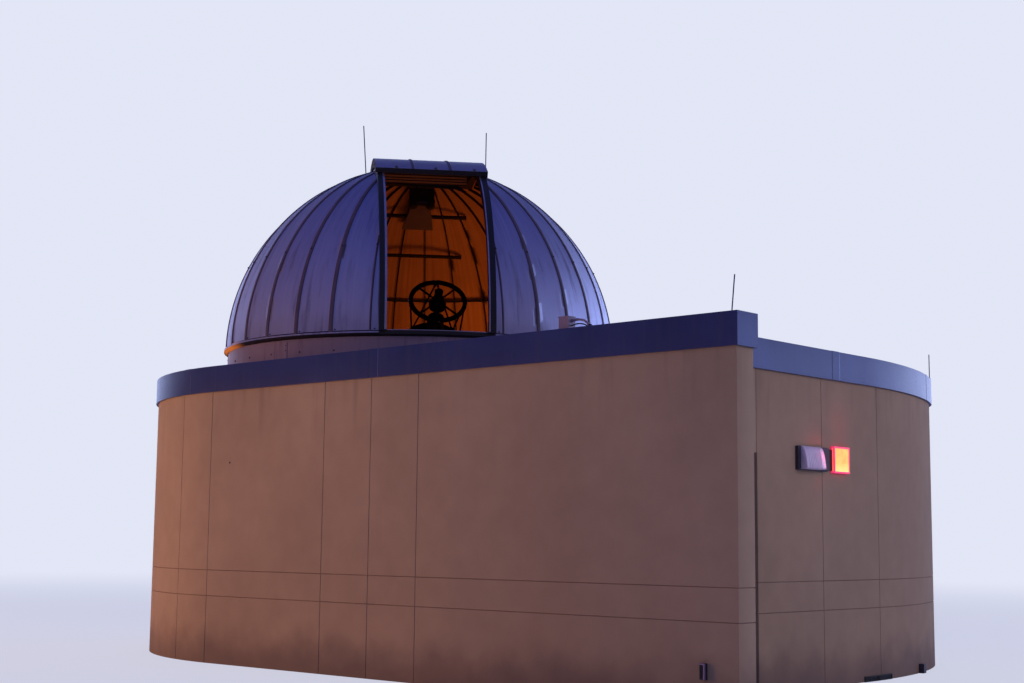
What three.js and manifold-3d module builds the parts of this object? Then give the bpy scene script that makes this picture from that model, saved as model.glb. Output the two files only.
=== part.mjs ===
// A small observatory: stucco walls with a metal coping, a flat roof, and a ribbed metal dome that turns on
// a ring wall. Millimetres, +Z up. The origin is on the dome's axis at floor level, +X runs along the front
// wall, +Y into the building.
import * as THREE from 'three'
import { mergeVertices } from 'three/addons/utils/BufferGeometryUtils.js'
import Module from 'manifold-3d'

const wasm = await Module()
wasm.setup()

const gap = 0.3 // left between pieces that touch
const halfGap = gap / 2
const overlap = 2 // how far the parts of one piece run into each other

// Walls, in plan and in height
const wallThickness = 253
const wallTop = 3320
const frontY = -3250
const finEndX = 7100
const sideX = 6248
const backY = 3950
const leftCentre = [0, 350]
const leftRadius = 3600
const rightCentre = [248, 400]
const rightRadius = 6000
const rightSweep = 24
const leftStep = 5
const rightStep = 3
const cornerStep = 6

// Floor, roof and coping
const floorTop = 100
const roofBottom = 2880
const roofTop = 3060
const copingBottom = 3058
const copingTop = 3355
const copingProud = 30
const copingInner = 20
const copingInnerBottom = 3200

// Doorway in the side wall, behind the fin
const doorway = { near: -2560, far: -1650, top: 2253 }
const frame = { width: 45, back: 6040, front: 6105 }
const leaf = { clear: 5, thickness: 44, face: 6100 }
const hinge = { x: 6118, y: -2512.5, radius: 8, height: 32, fixedTab: 12, leafTab: 25 }
const hingeLevels = [320, 1130, 1960]
const handle = { inset: 70, level: 1080, width: 16, reach: 50, lever: 110, thickness: 14 }

// Dome and the ring wall that carries it
const domeCentreZ = 3730
const domeRadius = 2505
const shellThickness = 25
const slitBearing = -40.07
const ringWall = { inner: 2375, outer: 2475, top: 3715 }
const track = { inner: 2395, outer: 2455, height: 10 }
const trackRoller = { count: 12, inner: 2405, outer: 2445, half: 45 }
const baseRing = { inner: 2400, outer: 2530, skirtInner: 2512, skirtBottom: 3735, bottom: 3748, top: 3768 }
const firstSeam = 18
const wholeGores = 29 // from the first seam on one side, round the back, to the first seam on the other
const goreAngle = (360 - 2 * firstSeam) / wholeGores
const goresAtFront = 7
const shellTopAngle = 88

// Slit, its rails and the shutter that slides up and over
const slitHalfWidth = 593
const railOuter = 676
const railTop = 2510
const railInner = 2390
const slitEnd = 98
const headerStart = 95
const railEnd = 172
const railInset = 15 // narrower on each side where the rails run on over the back
const hood = { half: 698, skirt: 12, inner: 2561, outer: 2581, skirtBottom: 2470, front: 59.5, sweep: 100 }
const fascia = { bottom: 2518, thickness: 15 }
const roller = { inner: 618, outer: 650, half: 1, places: [6, 50, 94] }

// Hung inside the dome: a hoop, two ties behind the slit, and the shutter's drive with its guard plate
const hoop = { level: 1100, inner: 2190, outer: 2225, half: 12, from: 19 }
const tie = { inner: 2344, outer: 2384, half: 0.45, reach: 680, angles: { upper: 116.4, lower: 135 } }
const drive = { inner: 2286, outer: 2490, from: 103.5, to: 107, half: 170, offset: 20 }
const drum = { radius: 55, orbit: 2300, angle: 105, half: 150 }
const guard = { orbit: 2300, length: 700, thickness: 12, topHalf: 125, bottomHalf: 222 }

// Lightning rods on the dome and on the coping
const domeRod = { x: -150, radius: 7, footHalf: 40, footLow: 6035, footTop: 6135 }
const domeRodPlaces = {
  left: { footY: -755, tipY: -805, tipZ: 6860 },
  right: { footY: 837, tipY: 842, tipZ: 6840 },
}
const wallRod = { radius: 6, footHeight: 20 }
const finRod = { x: 6969, lean: 32, tipZ: 3692, footHalf: 40 }
const sideRod = { angle: 27, inset: 18, tipZ: 3660, footHalf: 12 }

// Telescope: a truss tube in a fork on a pier, set a little to one side of the dome's axis
const pierOffset = 150
const pier = { radius: 300, top: 3180 }
const fork = { clear: 412, arm: 60, width: 300, top: 4000, baseBottom: 3260, baseTop: 3340, turntable: 260 }
const altitudeZ = 3874
const tubeElevation = 37
const cell = { radius: 400, back: -280, front: 45, wall: 40 }
const baffle = { start: 116, end: 110, length: 560 }
const trunnion = { radius: 45, start: 380 }
const trussRing = { radius: 370, inner: 326, at: 870, half: 20 }
const trussSeat = { inner: 345, outer: 412, thickness: 30 }
const poles = { radius: 11, topNode: 350, lowNode: 380 }
const secondary = { back: 765, shoulder: 850, neck: 965, front: 1050, radius: 106, noseRadius: 52 }
const vane = { from: 850, to: 890, half: 1.5, inner: 60, tipGap: 0.8 }

// Fittings on the walls and on the coping
const lamp = { low: -975, high: -420, bottom: 2118, top: 2358, bottomDepth: 108, topDepth: 72 }
const sign = { low: -304, high: -2, bottom: 2112, top: 2379, depth: 42 }
const outlet = { left: 6722, right: 6785, bottom: 267, top: 404, depth: 50 }
const vent = { from: -1, to: 4.6, depth: 14, height: 58 }
const drain = { facet: 4.5, half: 50, depth: 60, height: 100 }
const junction = { left: 5052, right: 5172, near: -3160, far: -3060, top: 3490 }
const conduit = { radius: 11, y: -3110, bends: [[5162, 3440], [5245, 3452], [5340, 3430], [5395, 3355]] }

const radians = THREE.MathUtils.degToRad
const degrees = THREE.MathUtils.radToDeg

const finishes = {
  stucco: { color: 0xb5a68c, roughness: 0.92, metalness: 0 },
  concrete: { color: 0x9a9a96, roughness: 0.9, metalness: 0 },
  roofing: { color: 0x8c8d8f, roughness: 0.85, metalness: 0 },
  copingMetal: { color: 0x3d4a63, roughness: 0.45, metalness: 0.6 },
  domeMetal: { color: 0xb4b8c4, roughness: 0.42, metalness: 0.85 },
  darkSteel: { color: 0x16171a, roughness: 0.5, metalness: 0.6 },
  doorPaint: { color: 0x4a4f57, roughness: 0.5, metalness: 0.3 },
  fittingGrey: { color: 0x55585d, roughness: 0.6, metalness: 0.1 },
  lens: { color: 0xd9d6e6, roughness: 0.3, metalness: 0 },
  rodMetal: { color: 0x8a8c90, roughness: 0.35, metalness: 0.9 },
}

const observatory = new THREE.Group()
const domeFrame = new THREE.Group()
domeFrame.rotation.z = radians(slitBearing)
const telescopeFrame = new THREE.Group()
telescopeFrame.position.set(0, pierOffset, 0)
const tubeFrame = new THREE.Group()
tubeFrame.position.set(0, 0, altitudeZ)
tubeFrame.rotation.y = -radians(tubeElevation)
telescopeFrame.add(tubeFrame)
domeFrame.add(telescopeFrame)
observatory.add(domeFrame)

function welded(geometry) {
  geometry.deleteAttribute('normal')
  geometry.deleteAttribute('uv')
  const merged = mergeVertices(geometry, 1e-3)
  const index = merged.index.array
  const kept = []
  for (let i = 0; i < index.length; i += 3) {
    const [a, b, c] = index.slice(i, i + 3)
    if (a !== b && b !== c && c !== a) kept.push(a, b, c)
  }
  merged.setIndex(kept)
  return merged
}

function solidOf(geometry) {
  const merged = welded(geometry)
  return new wasm.Manifold(new wasm.Mesh({
    numProp: 3,
    vertProperties: new Float32Array(merged.attributes.position.array),
    triVerts: new Uint32Array(merged.index.array),
  }))
}

function geometryOf(solid) {
  const mesh = solid.getMesh()
  const geometry = new THREE.BufferGeometry()
  geometry.setAttribute('position', new THREE.BufferAttribute(new Float32Array(mesh.vertProperties), 3))
  geometry.setIndex(new THREE.BufferAttribute(new Uint32Array(mesh.triVerts), 1))
  return geometry
}

function joined(first, ...others) {
  return others.reduce((sum, other) => sum.add(other), first)
}

function place(name, shape, finish, parent = observatory) {
  const geometry = shape.isBufferGeometry ? welded(shape) : geometryOf(shape)
  geometry.computeVertexNormals()
  const mesh = new THREE.Mesh(geometry, new THREE.MeshStandardMaterial(finishes[finish]))
  mesh.name = name
  parent.add(mesh)
}

function box(low, high) {
  const size = high.map((value, i) => value - low[i])
  const geometry = new THREE.BoxGeometry(...size)
  return geometry.translate(...low.map((value, i) => value + size[i] / 2))
}

function arcPoints([x, y], radius, from, to, steps) {
  const points = []
  for (let i = 0; i <= steps; i++) {
    const angle = radians(from + (to - from) * i / steps)
    points.push(new THREE.Vector2(x + radius * Math.cos(angle), y + radius * Math.sin(angle)))
  }
  return points
}

function upright(points, bottom, top) {
  const shape = new THREE.Shape(points)
  const geometry = new THREE.ExtrudeGeometry(shape, { depth: top - bottom, bevelEnabled: false })
  return geometry.translate(0, 0, bottom)
}

// An outline drawn in the x-z plane, given a width along y
function acrossY(points, fromY, toY) {
  const geometry = upright(points, 0, toY - fromY)
  return geometry.rotateX(Math.PI / 2).translate(0, toY, 0)
}

// An outline drawn in the y-z plane, given a length along x
function alongX(points, fromX, toX) {
  const geometry = upright(points, 0, toX - fromX)
  return geometry.rotateX(Math.PI / 2).rotateZ(Math.PI / 2).translate(fromX, 0, 0)
}

function points(...pairs) {
  return pairs.map(([x, y]) => new THREE.Vector2(x, y))
}

function sector(centre, inner, outer, from, to, steps) {
  return [...arcPoints(centre, outer, from, to, steps), ...arcPoints(centre, inner, to, from, steps)]
}

// A closed outline of radius and height turned round a vertical axis, with end faces unless it's a full turn
function revolved(outline, { from = 0, to = 360, steps, centre = [0, 0] }) {
  const closed = [...outline, outline[0]]
  const geometry = new THREE.LatheGeometry(closed, steps, radians(from + 90), radians(to - from))
  if (to - from < 360) {
    const last = steps * closed.length
    const caps = THREE.ShapeUtils.triangulateShape(outline, [])
    const index = [...geometry.index.array]
    for (const [a, b, c] of caps) index.push(a, b, c, last + c, last + b, last + a)
    geometry.setIndex(index)
  }
  return geometry.rotateX(Math.PI / 2).translate(...centre, 0)
}

function cylinder(radius, bottom, top, sides = 24, [x, y] = [0, 0]) {
  const geometry = new THREE.CylinderGeometry(radius, radius, top - bottom, sides)
  return geometry.rotateX(Math.PI / 2).translate(x, y, (bottom + top) / 2)
}

function rodBetween(start, end, radius, sides = 6) {
  const from = new THREE.Vector3(...start)
  const along = new THREE.Vector3(...end).sub(from)
  const geometry = new THREE.CylinderGeometry(radius, radius, along.length(), sides)
  geometry.translate(0, along.length() / 2, 0)
  const upward = new THREE.Vector3(0, 1, 0)
  const turn = new THREE.Quaternion().setFromUnitVectors(upward, along.clone().normalize())
  return geometry.applyQuaternion(turn).translate(...start)
}

function openAngle(radius) {
  return degrees(halfGap / radius)
}

// The plan outline: three arcs that run into each other and three straight walls
const sweepSine = Math.sin(radians(rightSweep))
const cornerRadius = (backY - rightCentre[1] - rightRadius * sweepSine) / (1 - sweepSine)
const cornerCentre = [
  rightCentre[0] + (rightRadius - cornerRadius) * Math.cos(radians(rightSweep)),
  backY - cornerRadius,
]
const innerX = sideX - wallThickness
const innerFrontY = frontY + wallThickness
const innerBackY = backY - wallThickness

function interiorOutline(inset) {
  return [
    new THREE.Vector2(leftCentre[0], innerFrontY + inset),
    new THREE.Vector2(innerX - inset, innerFrontY + inset),
    ...arcPoints(rightCentre, rightRadius - wallThickness - inset, 0, rightSweep, rightSweep / rightStep),
    ...arcPoints(cornerCentre, cornerRadius - wallThickness - inset, rightSweep, 90,
      (90 - rightSweep) / cornerStep).slice(1),
    ...arcPoints(leftCentre, leftRadius - wallThickness - inset, 90, 270, 180 / leftStep).slice(0, -1),
  ]
}

function curvedWall(name, centre, radius, from, to, step) {
  const open = openAngle(radius)
  const steps = (to - from) / step
  const outline = sector(centre, radius - wallThickness, radius, from + open, to - open, steps)
  place(name, upright(outline, 0, wallTop), 'stucco')
}

function makeWalls() {
  place('front_wall', box([halfGap, frontY, 0], [finEndX, innerFrontY, wallTop]), 'stucco')
  curvedWall('left_wall_front', leftCentre, leftRadius, 210, 270, leftStep)
  curvedWall('left_wall_middle', leftCentre, leftRadius, 150, 210, leftStep)
  curvedWall('left_wall_rear', leftCentre, leftRadius, 90, 150, leftStep)
  place('back_wall', box([halfGap, innerBackY, 0], [cornerCentre[0] - halfGap, backY, wallTop]), 'stucco')
  curvedWall('rear_corner_wall', cornerCentre, cornerRadius, rightSweep, 90, cornerStep)
  curvedWall('right_curved_wall', rightCentre, rightRadius, 0, rightSweep, rightStep)
  place('side_wall', box([innerX, doorway.far, 0], [sideX, rightCentre[1] - halfGap, wallTop]), 'stucco')
  place('door_side_wall', box([innerX, innerFrontY + gap, 0], [sideX, doorway.near, wallTop]), 'stucco')
  place('door_head_wall',
    box([innerX, doorway.near + gap, doorway.top], [sideX, doorway.far - gap, wallTop]), 'stucco')
}

// The coping's section, measured outwards from the wall's face: a deep fascia, a top and a short inner return
function copingSection(place2d) {
  const innerFace = -wallThickness - gap
  const outer = [
    [innerFace - copingInner, copingInnerBottom],
    [innerFace, copingInnerBottom],
    [innerFace, wallTop + gap],
    [gap, wallTop + gap],
    [gap, copingBottom],
    [copingProud, copingBottom],
    [copingProud, copingTop],
    [innerFace - copingInner, copingTop],
  ]
  return outer.map(([offset, z]) => new THREE.Vector2(place2d(offset), z))
}

function curvedCoping(name, centre, radius, from, to, step) {
  const open = openAngle(radius)
  const section = copingSection((offset) => radius + offset)
  const steps = (to - from) / step
  place(name, revolved(section, { from: from + open, to: to - open, steps, centre }), 'copingMetal')
}

function makeCoping() {
  const innerEdge = innerFrontY + gap + copingInner
  const sideInner = innerX - gap - copingInner
  const sideOuter = sideX + copingProud
  const finStart = sideOuter + 2 * gap
  const straight = solidOf(alongX(copingSection((offset) => frontY - offset), halfGap, finEndX + gap))
  const finEnd = solidOf(box([finEndX + gap, frontY - copingProud, copingBottom],
    [finEndX + copingProud, innerFrontY + copingProud, copingTop]))
  const finBack = solidOf(box([finStart, innerFrontY + gap, copingBottom],
    [finEndX + copingProud, innerFrontY + copingProud, copingTop]))
  const meeting = solidOf(box([sideInner - gap, innerFrontY + halfGap, copingBottom - 1],
    [finStart, innerEdge + copingProud, copingTop + 1]))
  place('coping_front', joined(straight.subtract(meeting), finEnd, finBack), 'copingMetal')
  const sideSection = copingSection((offset) => sideX + offset)
  const side = acrossY(sideSection, innerFrontY + halfGap + gap, rightCentre[1] - halfGap)
  place('coping_side', side, 'copingMetal')
  curvedCoping('coping_right_curve', rightCentre, rightRadius, 0, rightSweep, rightStep)
  curvedCoping('coping_rear_corner', cornerCentre, cornerRadius, rightSweep, 90, cornerStep)
  const backSection = copingSection((offset) => backY + offset)
  place('coping_back', alongX(backSection, halfGap, cornerCentre[0] - halfGap), 'copingMetal')
  curvedCoping('coping_left_rear', leftCentre, leftRadius, 90, 180, leftStep)
  curvedCoping('coping_left_front', leftCentre, leftRadius, 180, 270, leftStep)
}

function makeFloor() {
  const slab = solidOf(upright(interiorOutline(gap), 0, floorTop))
  const sill = solidOf(box([innerX - 1, doorway.near + gap, 0], [sideX, doorway.far - gap, floorTop]))
  place('floor_slab', slab.add(sill), 'concrete')
}

function makeRoof() {
  const hole = solidOf(cylinder(ringWall.inner, roofBottom - 1, roofTop + 1, 72))
  const deck = solidOf(upright(interiorOutline(gap), roofBottom, roofTop)).subtract(hole)
  const splitX = ringWall.outer + 25
  const far = 9000
  const pieces = {
    roof_front: [[-splitX + halfGap, -far], [splitX - halfGap, -halfGap]],
    roof_back: [[-splitX + halfGap, halfGap], [splitX - halfGap, far]],
    roof_left: [[-far, -far], [-splitX - halfGap, far]],
    roof_right: [[splitX + halfGap, -far], [far, far]],
  }
  for (const [name, [low, high]] of Object.entries(pieces)) {
    const region = solidOf(box([...low, roofBottom - 1], [...high, roofTop + 1]))
    place(name, deck.intersect(region), 'roofing')
  }
}

function makeRingWall() {
  const section = points([ringWall.inner, roofTop + gap], [ringWall.outer, roofTop + gap],
    [ringWall.outer, ringWall.top], [ringWall.inner, ringWall.top])
  const open = openAngle(ringWall.inner)
  const starts = { ring_wall_front: 210, ring_wall_right: 330, ring_wall_back: 90 }
  for (const [name, from] of Object.entries(starts)) {
    place(name, revolved(section, { from: from + open, to: from + 120 - open, steps: 24 }), 'domeMetal')
  }
}

// The curb on the ring wall, with the rollers that the dome turns on
function makeTrack() {
  const curbTop = ringWall.top + track.height
  const section = points([track.inner, ringWall.top + gap], [track.outer, ringWall.top + gap],
    [track.outer, curbTop], [track.inner, curbTop])
  let curb = solidOf(revolved(section, { steps: 72 }))
  const step = 360 / trackRoller.count
  for (let i = 0; i < trackRoller.count; i++) {
    const block = box([trackRoller.inner, -trackRoller.half, curbTop - overlap],
      [trackRoller.outer, trackRoller.half, baseRing.bottom - gap])
    curb = curb.add(solidOf(block.rotateZ(radians((i + 0.5) * step))))
  }
  place('dome_track', curb, 'darkSteel')
}

function makeDoor() {
  const low = floorTop + gap
  const left = doorway.near + gap
  const right = doorway.far - gap
  const top = doorway.top - gap
  const inner = [left + frame.width, right - frame.width, top - frame.width]
  const outline = points([left, low], [inner[0], low], [inner[0], inner[2]], [inner[1], inner[2]],
    [inner[1], low], [right, low], [right, top], [left, top])
  let surround = solidOf(alongX(outline, frame.back, frame.front))
  let panel = solidOf(box([leaf.face - leaf.thickness, inner[0] + leaf.clear, floorTop + leaf.clear],
    [leaf.face, inner[1] - leaf.clear, inner[2] - leaf.clear]))
  for (const level of hingeLevels) {
    const middle = level + hinge.height
    const fixed = cylinder(hinge.radius, level, middle, 12, [hinge.x, hinge.y])
    const fixedTab = box([frame.front - overlap, hinge.y - hinge.fixedTab, level], [hinge.x, hinge.y, middle])
    surround = joined(surround, solidOf(fixed), solidOf(fixedTab))
    const high = middle + hinge.height
    const turning = cylinder(hinge.radius, middle + gap, high, 12, [hinge.x, hinge.y])
    const turningTab = box([leaf.face - overlap, hinge.y, middle + gap],
      [hinge.x, hinge.y + hinge.leafTab, high])
    panel = joined(panel, solidOf(turning), solidOf(turningTab))
  }
  const handleY = inner[1] - leaf.clear - handle.inset
  const halfWidth = handle.width / 2
  const spindle = box([leaf.face - overlap, handleY - halfWidth, handle.level - halfWidth],
    [leaf.face + handle.reach, handleY + halfWidth, handle.level + halfWidth])
  const leverBack = leaf.face + handle.reach - overlap
  const lever = box([leverBack, handleY - handle.lever, handle.level - halfWidth - overlap],
    [leverBack + handle.thickness, handleY + halfWidth + overlap, handle.level + halfWidth + overlap])
  place('door_frame', surround, 'doorPaint')
  place('door_leaf', joined(panel, solidOf(spindle), solidOf(lever)), 'doorPaint')
}

// Wall fittings beside the door, at the foot of the walls and on the coping
function makeFittings() {
  const wallFace = sideX + gap
  const profile = points([wallFace, lamp.bottom], [sideX + lamp.bottomDepth, lamp.bottom],
    [sideX + lamp.topDepth, lamp.top], [wallFace, lamp.top])
  place('emergency_light', acrossY(profile, lamp.low, lamp.high), 'fittingGrey')
  const signBody = box([wallFace, sign.low, sign.bottom], [sideX + sign.depth, sign.high, sign.top])
  place('lit_sign', signBody, 'fittingGrey')
  place('outlet_box', box([outlet.left, frontY - gap - outlet.depth, outlet.bottom],
    [outlet.right, frontY - gap, outlet.top]), 'fittingGrey')
  const ventBack = rightRadius + 5 * gap
  const louvre = sector(rightCentre, ventBack, rightRadius + vent.depth, vent.from, vent.to, 3)
  place('base_vent', upright(louvre, 0, vent.height), 'darkSteel')
  const facetFace = rightRadius * Math.cos(radians(rightStep / 2)) + gap
  const drainBody = box([facetFace, -drain.half, 0], [facetFace + drain.depth, drain.half, drain.height])
  drainBody.rotateZ(radians(drain.facet * rightStep)).translate(...rightCentre, 0)
  place('drain_box', drainBody, 'fittingGrey')
  makeJunctionBox()
}

// A box on the coping, with a bent conduit that runs down into it
function makeJunctionBox() {
  const deck = copingTop + gap
  const bend = new THREE.CatmullRomCurve3(conduit.bends.map(([x, z]) => new THREE.Vector3(x, conduit.y, z)))
  const ring = new THREE.Shape(arcPoints([0, 0], conduit.radius, 0, 360, 8).slice(0, -1))
  const pipe = new THREE.ExtrudeGeometry(ring, { steps: 10, bevelEnabled: false, extrudePath: bend })
  const below = box([junction.left, junction.near, copingBottom], [finEndX, junction.far, deck])
  const body = box([junction.left, junction.near, deck], [junction.right, junction.far, junction.top])
  place('junction_box', solidOf(body).add(solidOf(pipe).subtract(solidOf(below))), 'lens')
}

function makeWallRod(name, [x, y], [tipX, tipY, tipZ], footHalf) {
  const foot = solidOf(box([x - footHalf, y - footHalf, copingTop + gap],
    [x + footHalf, y + footHalf, copingTop + wallRod.footHeight]))
  const start = [x, y, copingTop + wallRod.footHeight / 2]
  place(name, foot.add(solidOf(rodBetween(start, [tipX, tipY, tipZ], wallRod.radius, 8))), 'rodMetal')
}

// One rod in the middle of the fin, leaning towards its end, and one near the coping's edge at the corner
function makeWallRods() {
  const finY = frontY + wallThickness / 2
  makeWallRod('fin_rod', [finRod.x, finY], [finRod.x + finRod.lean, finY, finRod.tipZ], finRod.footHalf)
  const angle = radians(sideRod.angle)
  const radius = cornerRadius + copingProud - sideRod.inset
  const [x, y] = [cornerCentre[0] + radius * Math.cos(angle), cornerCentre[1] + radius * Math.sin(angle)]
  makeWallRod('side_rod', [x, y], [x, y, sideRod.tipZ], sideRod.footHalf)
}

function elevationPoints(radius, from, to, steps) {
  return arcPoints([0, domeCentreZ], radius, from, to, steps)
}

const shellSteps = 15
const frontSector = [firstSeam - goreAngle, firstSeam + goresAtFront * goreAngle]
const rearSector = [frontSector[1], 180]

function aboveBaseRing(radius) {
  return degrees(Math.asin((baseRing.top + gap - domeCentreZ) / radius))
}

// Everything inside or outside the shell's own facets, used to seat pieces on it
function sphereBody(radius) {
  const arc = elevationPoints(radius, aboveBaseRing(radius), shellTopAngle, shellSteps)
  const outline = [new THREE.Vector2(0, arc[0].y), ...arc, new THREE.Vector2(0, arc.at(-1).y)]
  const start = frontSector[0]
  const steps = 2 * (wholeGores + 2)
  return solidOf(revolved(outline, { from: start, to: 360 - start, steps }))
}

function makeShell() {
  const shellInner = domeRadius - shellThickness
  const outline = [
    ...elevationPoints(domeRadius, aboveBaseRing(domeRadius), shellTopAngle, shellSteps),
    ...elevationPoints(shellInner, shellTopAngle, aboveBaseRing(shellInner), shellSteps),
  ]
  const reach = 2 * domeRadius
  const slitSide = points([0, domeCentreZ], ...[-10, 40, slitEnd].map((angle) => [
    reach * Math.cos(radians(angle)),
    domeCentreZ + reach * Math.sin(radians(angle)),
  ]))
  const slit = solidOf(acrossY(slitSide, -railOuter - gap, railOuter + gap))
  const open = openAngle(domeRadius)
  const sectors = { front: frontSector, rear: rearSector }
  for (const [where, [from, to]] of Object.entries(sectors)) {
    const steps = Math.round(2 * (to - from) / goreAngle)
    const right = solidOf(revolved(outline, { from: from + open, to: to - open, steps }))
    const left = solidOf(revolved(outline, { from: -to + open, to: -from - open, steps }))
    place(`dome_shell_${where}_right`, right.subtract(slit), 'domeMetal', domeFrame)
    place(`dome_shell_${where}_left`, left.subtract(slit), 'domeMetal', domeFrame)
  }
}

function makeBaseRing() {
  const section = points([baseRing.inner, baseRing.bottom], [baseRing.skirtInner, baseRing.bottom],
    [baseRing.skirtInner, baseRing.skirtBottom], [baseRing.outer, baseRing.skirtBottom],
    [baseRing.outer, baseRing.top], [baseRing.inner, baseRing.top])
  place('dome_base_ring', revolved(section, { steps: 72 }), 'domeMetal', domeFrame)
}

function mirrored(inner, outer, sign) {
  return [inner * sign, outer * sign].sort((a, b) => a - b)
}

// Two rails edge the slit and run on over the back of the dome, where the open shutter lies
function makeRails() {
  const lowest = aboveBaseRing(railInner)
  const centre = [0, domeCentreZ]
  const curb = sector(centre, railInner, railTop, lowest, slitEnd - 0.01, 28)
  const carryOn = sector(centre, railInner, railTop, slitEnd - 1, railEnd, 20)
  const shellBody = sphereBody(domeRadius + gap)
  for (const [side, sign] of [['left', -1], ['right', 1]]) {
    const along = solidOf(acrossY(curb, ...mirrored(slitHalfWidth, railOuter, sign)))
    const backEdges = mirrored(slitHalfWidth + railInset, railOuter - railInset, sign)
    const back = solidOf(acrossY(carryOn, ...backEdges)).subtract(shellBody)
    place(`slit_rail_${side}`, along.add(back), 'darkSteel', domeFrame)
  }
  const header = sector(centre, railInner, railTop, headerStart, slitEnd - 0.01, 2)
  place('slit_header', acrossY(header, -slitHalfWidth + gap, slitHalfWidth - gap), 'darkSteel', domeFrame)
}

function makeHoopAndTies() {
  const inside = sphereBody(domeRadius - shellThickness - gap)
  const [low, high] = [domeCentreZ + hoop.level - hoop.half, domeCentreZ + hoop.level + hoop.half]
  const section = points([hoop.inner, low], [hoop.outer, low], [hoop.outer, high], [hoop.inner, high])
  const ring = solidOf(revolved(section, { from: hoop.from, to: 360 - hoop.from, steps: 60 }))
  place('dome_hoop', ring.intersect(inside), 'darkSteel', domeFrame)
  for (const [name, angle] of Object.entries(tie.angles)) {
    const bar = sector([0, domeCentreZ], tie.inner, tie.outer, angle - tie.half, angle + tie.half, 1)
    const across = solidOf(acrossY(bar, -tie.reach, tie.reach))
    place(`cross_tie_${name}`, across.intersect(inside), 'darkSteel', domeFrame)
  }
}

function makeDrive() {
  const inside = sphereBody(domeRadius - shellThickness - gap)
  const block = sector([0, domeCentreZ], drive.inner, drive.outer, drive.from, drive.to, 2)
  const body = solidOf(acrossY(block, drive.offset - drive.half, drive.offset + drive.half)).intersect(inside)
  const drumX = drum.orbit * Math.cos(radians(drum.angle))
  const drumZ = domeCentreZ + drum.orbit * Math.sin(radians(drum.angle))
  const roll = rodBetween([drumX, drive.offset - drum.half, drumZ], [drumX, drive.offset + drum.half, drumZ],
    drum.radius, 16)
  place('shutter_drive', body.add(solidOf(roll)), 'darkSteel', domeFrame)
  const flare = new THREE.Shape(points([0, -guard.topHalf], [guard.length, -guard.bottomHalf],
    [guard.length, guard.bottomHalf], [0, guard.topHalf]))
  const plate = new THREE.ExtrudeGeometry(flare, { depth: guard.thickness, bevelEnabled: false })
  const turn = radians(drive.to)
  const startX = guard.orbit * Math.cos(turn) - gap * Math.sin(turn)
  const startZ = guard.orbit * Math.sin(turn) + gap * Math.cos(turn)
  plate.rotateY(-turn - Math.PI / 2).translate(startX, drive.offset, domeCentreZ + startZ)
  place('drive_guard', plate, 'darkSteel', domeFrame)
}

// The rods beside the slit stand on small feet cut to the shell
function makeDomeRods() {
  const shellBody = sphereBody(domeRadius + gap)
  const { x, radius, footHalf, footLow, footTop } = domeRod
  for (const [side, { footY, tipY, tipZ }] of Object.entries(domeRodPlaces)) {
    const foot = solidOf(box([x - footHalf, footY - footHalf, footLow],
      [x + footHalf, footY + footHalf, footTop]))
    const rod = solidOf(rodBetween([x, footY, footTop - footHalf / 2], [x, tipY, tipZ], radius, 8))
    place(`dome_rod_${side}`, foot.add(rod).subtract(shellBody), 'rodMetal', domeFrame)
  }
}

// The shutter is one curved panel with side skirts and a front fascia, riding on rollers
function makeShutter() {
  const centre = [0, domeCentreZ]
  const [from, to] = [hood.front, hood.front + hood.sweep]
  const panel = solidOf(acrossY(sector(centre, hood.inner, hood.outer, from, to, 25), -hood.half, hood.half))
  const frontLip = degrees(fascia.thickness / fascia.bottom)
  const front = sector(centre, fascia.bottom, hood.outer, from, from + frontLip, 1)
  const rollerFoot = (railTop + gap) / Math.cos(radians(roller.half))
  let shutter = panel.add(solidOf(acrossY(front, -hood.half, hood.half)))
  for (const sign of [-1, 1]) {
    const skirt = sector(centre, hood.skirtBottom, hood.outer, from, to, 25)
    shutter = shutter.add(solidOf(acrossY(skirt, ...mirrored(hood.half - hood.skirt, hood.half, sign))))
    for (const offset of roller.places) {
      const at = from + offset
      const block = sector(centre, rollerFoot, hood.inner + overlap, at - roller.half, at + roller.half, 1)
      shutter = shutter.add(solidOf(acrossY(block, ...mirrored(roller.inner, roller.outer, sign))))
    }
  }
  place('shutter_hood', shutter, 'domeMetal', domeFrame)
}

function makePier() {
  place('telescope_pier', cylinder(pier.radius, floorTop + gap, pier.top, 24), 'concrete', telescopeFrame)
}

function makeFork() {
  const out = fork.clear + fork.arm
  const outline = points([-out, fork.baseBottom], [out, fork.baseBottom], [out, fork.top],
    [fork.clear, fork.top], [fork.clear, fork.baseTop], [-fork.clear, fork.baseTop],
    [-fork.clear, fork.top], [-out, fork.top])
  const yoke = solidOf(alongX(outline, -fork.width / 2, fork.width / 2))
  const turntable = solidOf(cylinder(fork.turntable, pier.top + gap, fork.baseBottom + overlap))
  place('telescope_fork', yoke.add(turntable), 'darkSteel', telescopeFrame)
}

function aboutTube(outline, sides = 24) {
  return revolved(outline, { steps: sides }).rotateY(Math.PI / 2)
}

function makeMirrorCell() {
  const mirrorFace = cell.front - cell.wall
  const inner = cell.radius - cell.wall
  const outline = points([0, cell.back], [cell.radius, cell.back], [cell.radius, cell.front],
    [inner, cell.front], [inner, mirrorFace], [baffle.start, mirrorFace],
    [baffle.end, mirrorFace + baffle.length], [0, mirrorFace + baffle.length])
  let pot = solidOf(aboutTube(outline))
  for (const sign of [-1, 1]) {
    const end = sign * (fork.clear - gap)
    pot = pot.add(solidOf(rodBetween([0, sign * trunnion.start, 0], [0, end, 0], trunnion.radius, 16)))
  }
  place('mirror_cell', pot, 'darkSteel', tubeFrame)
}

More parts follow.
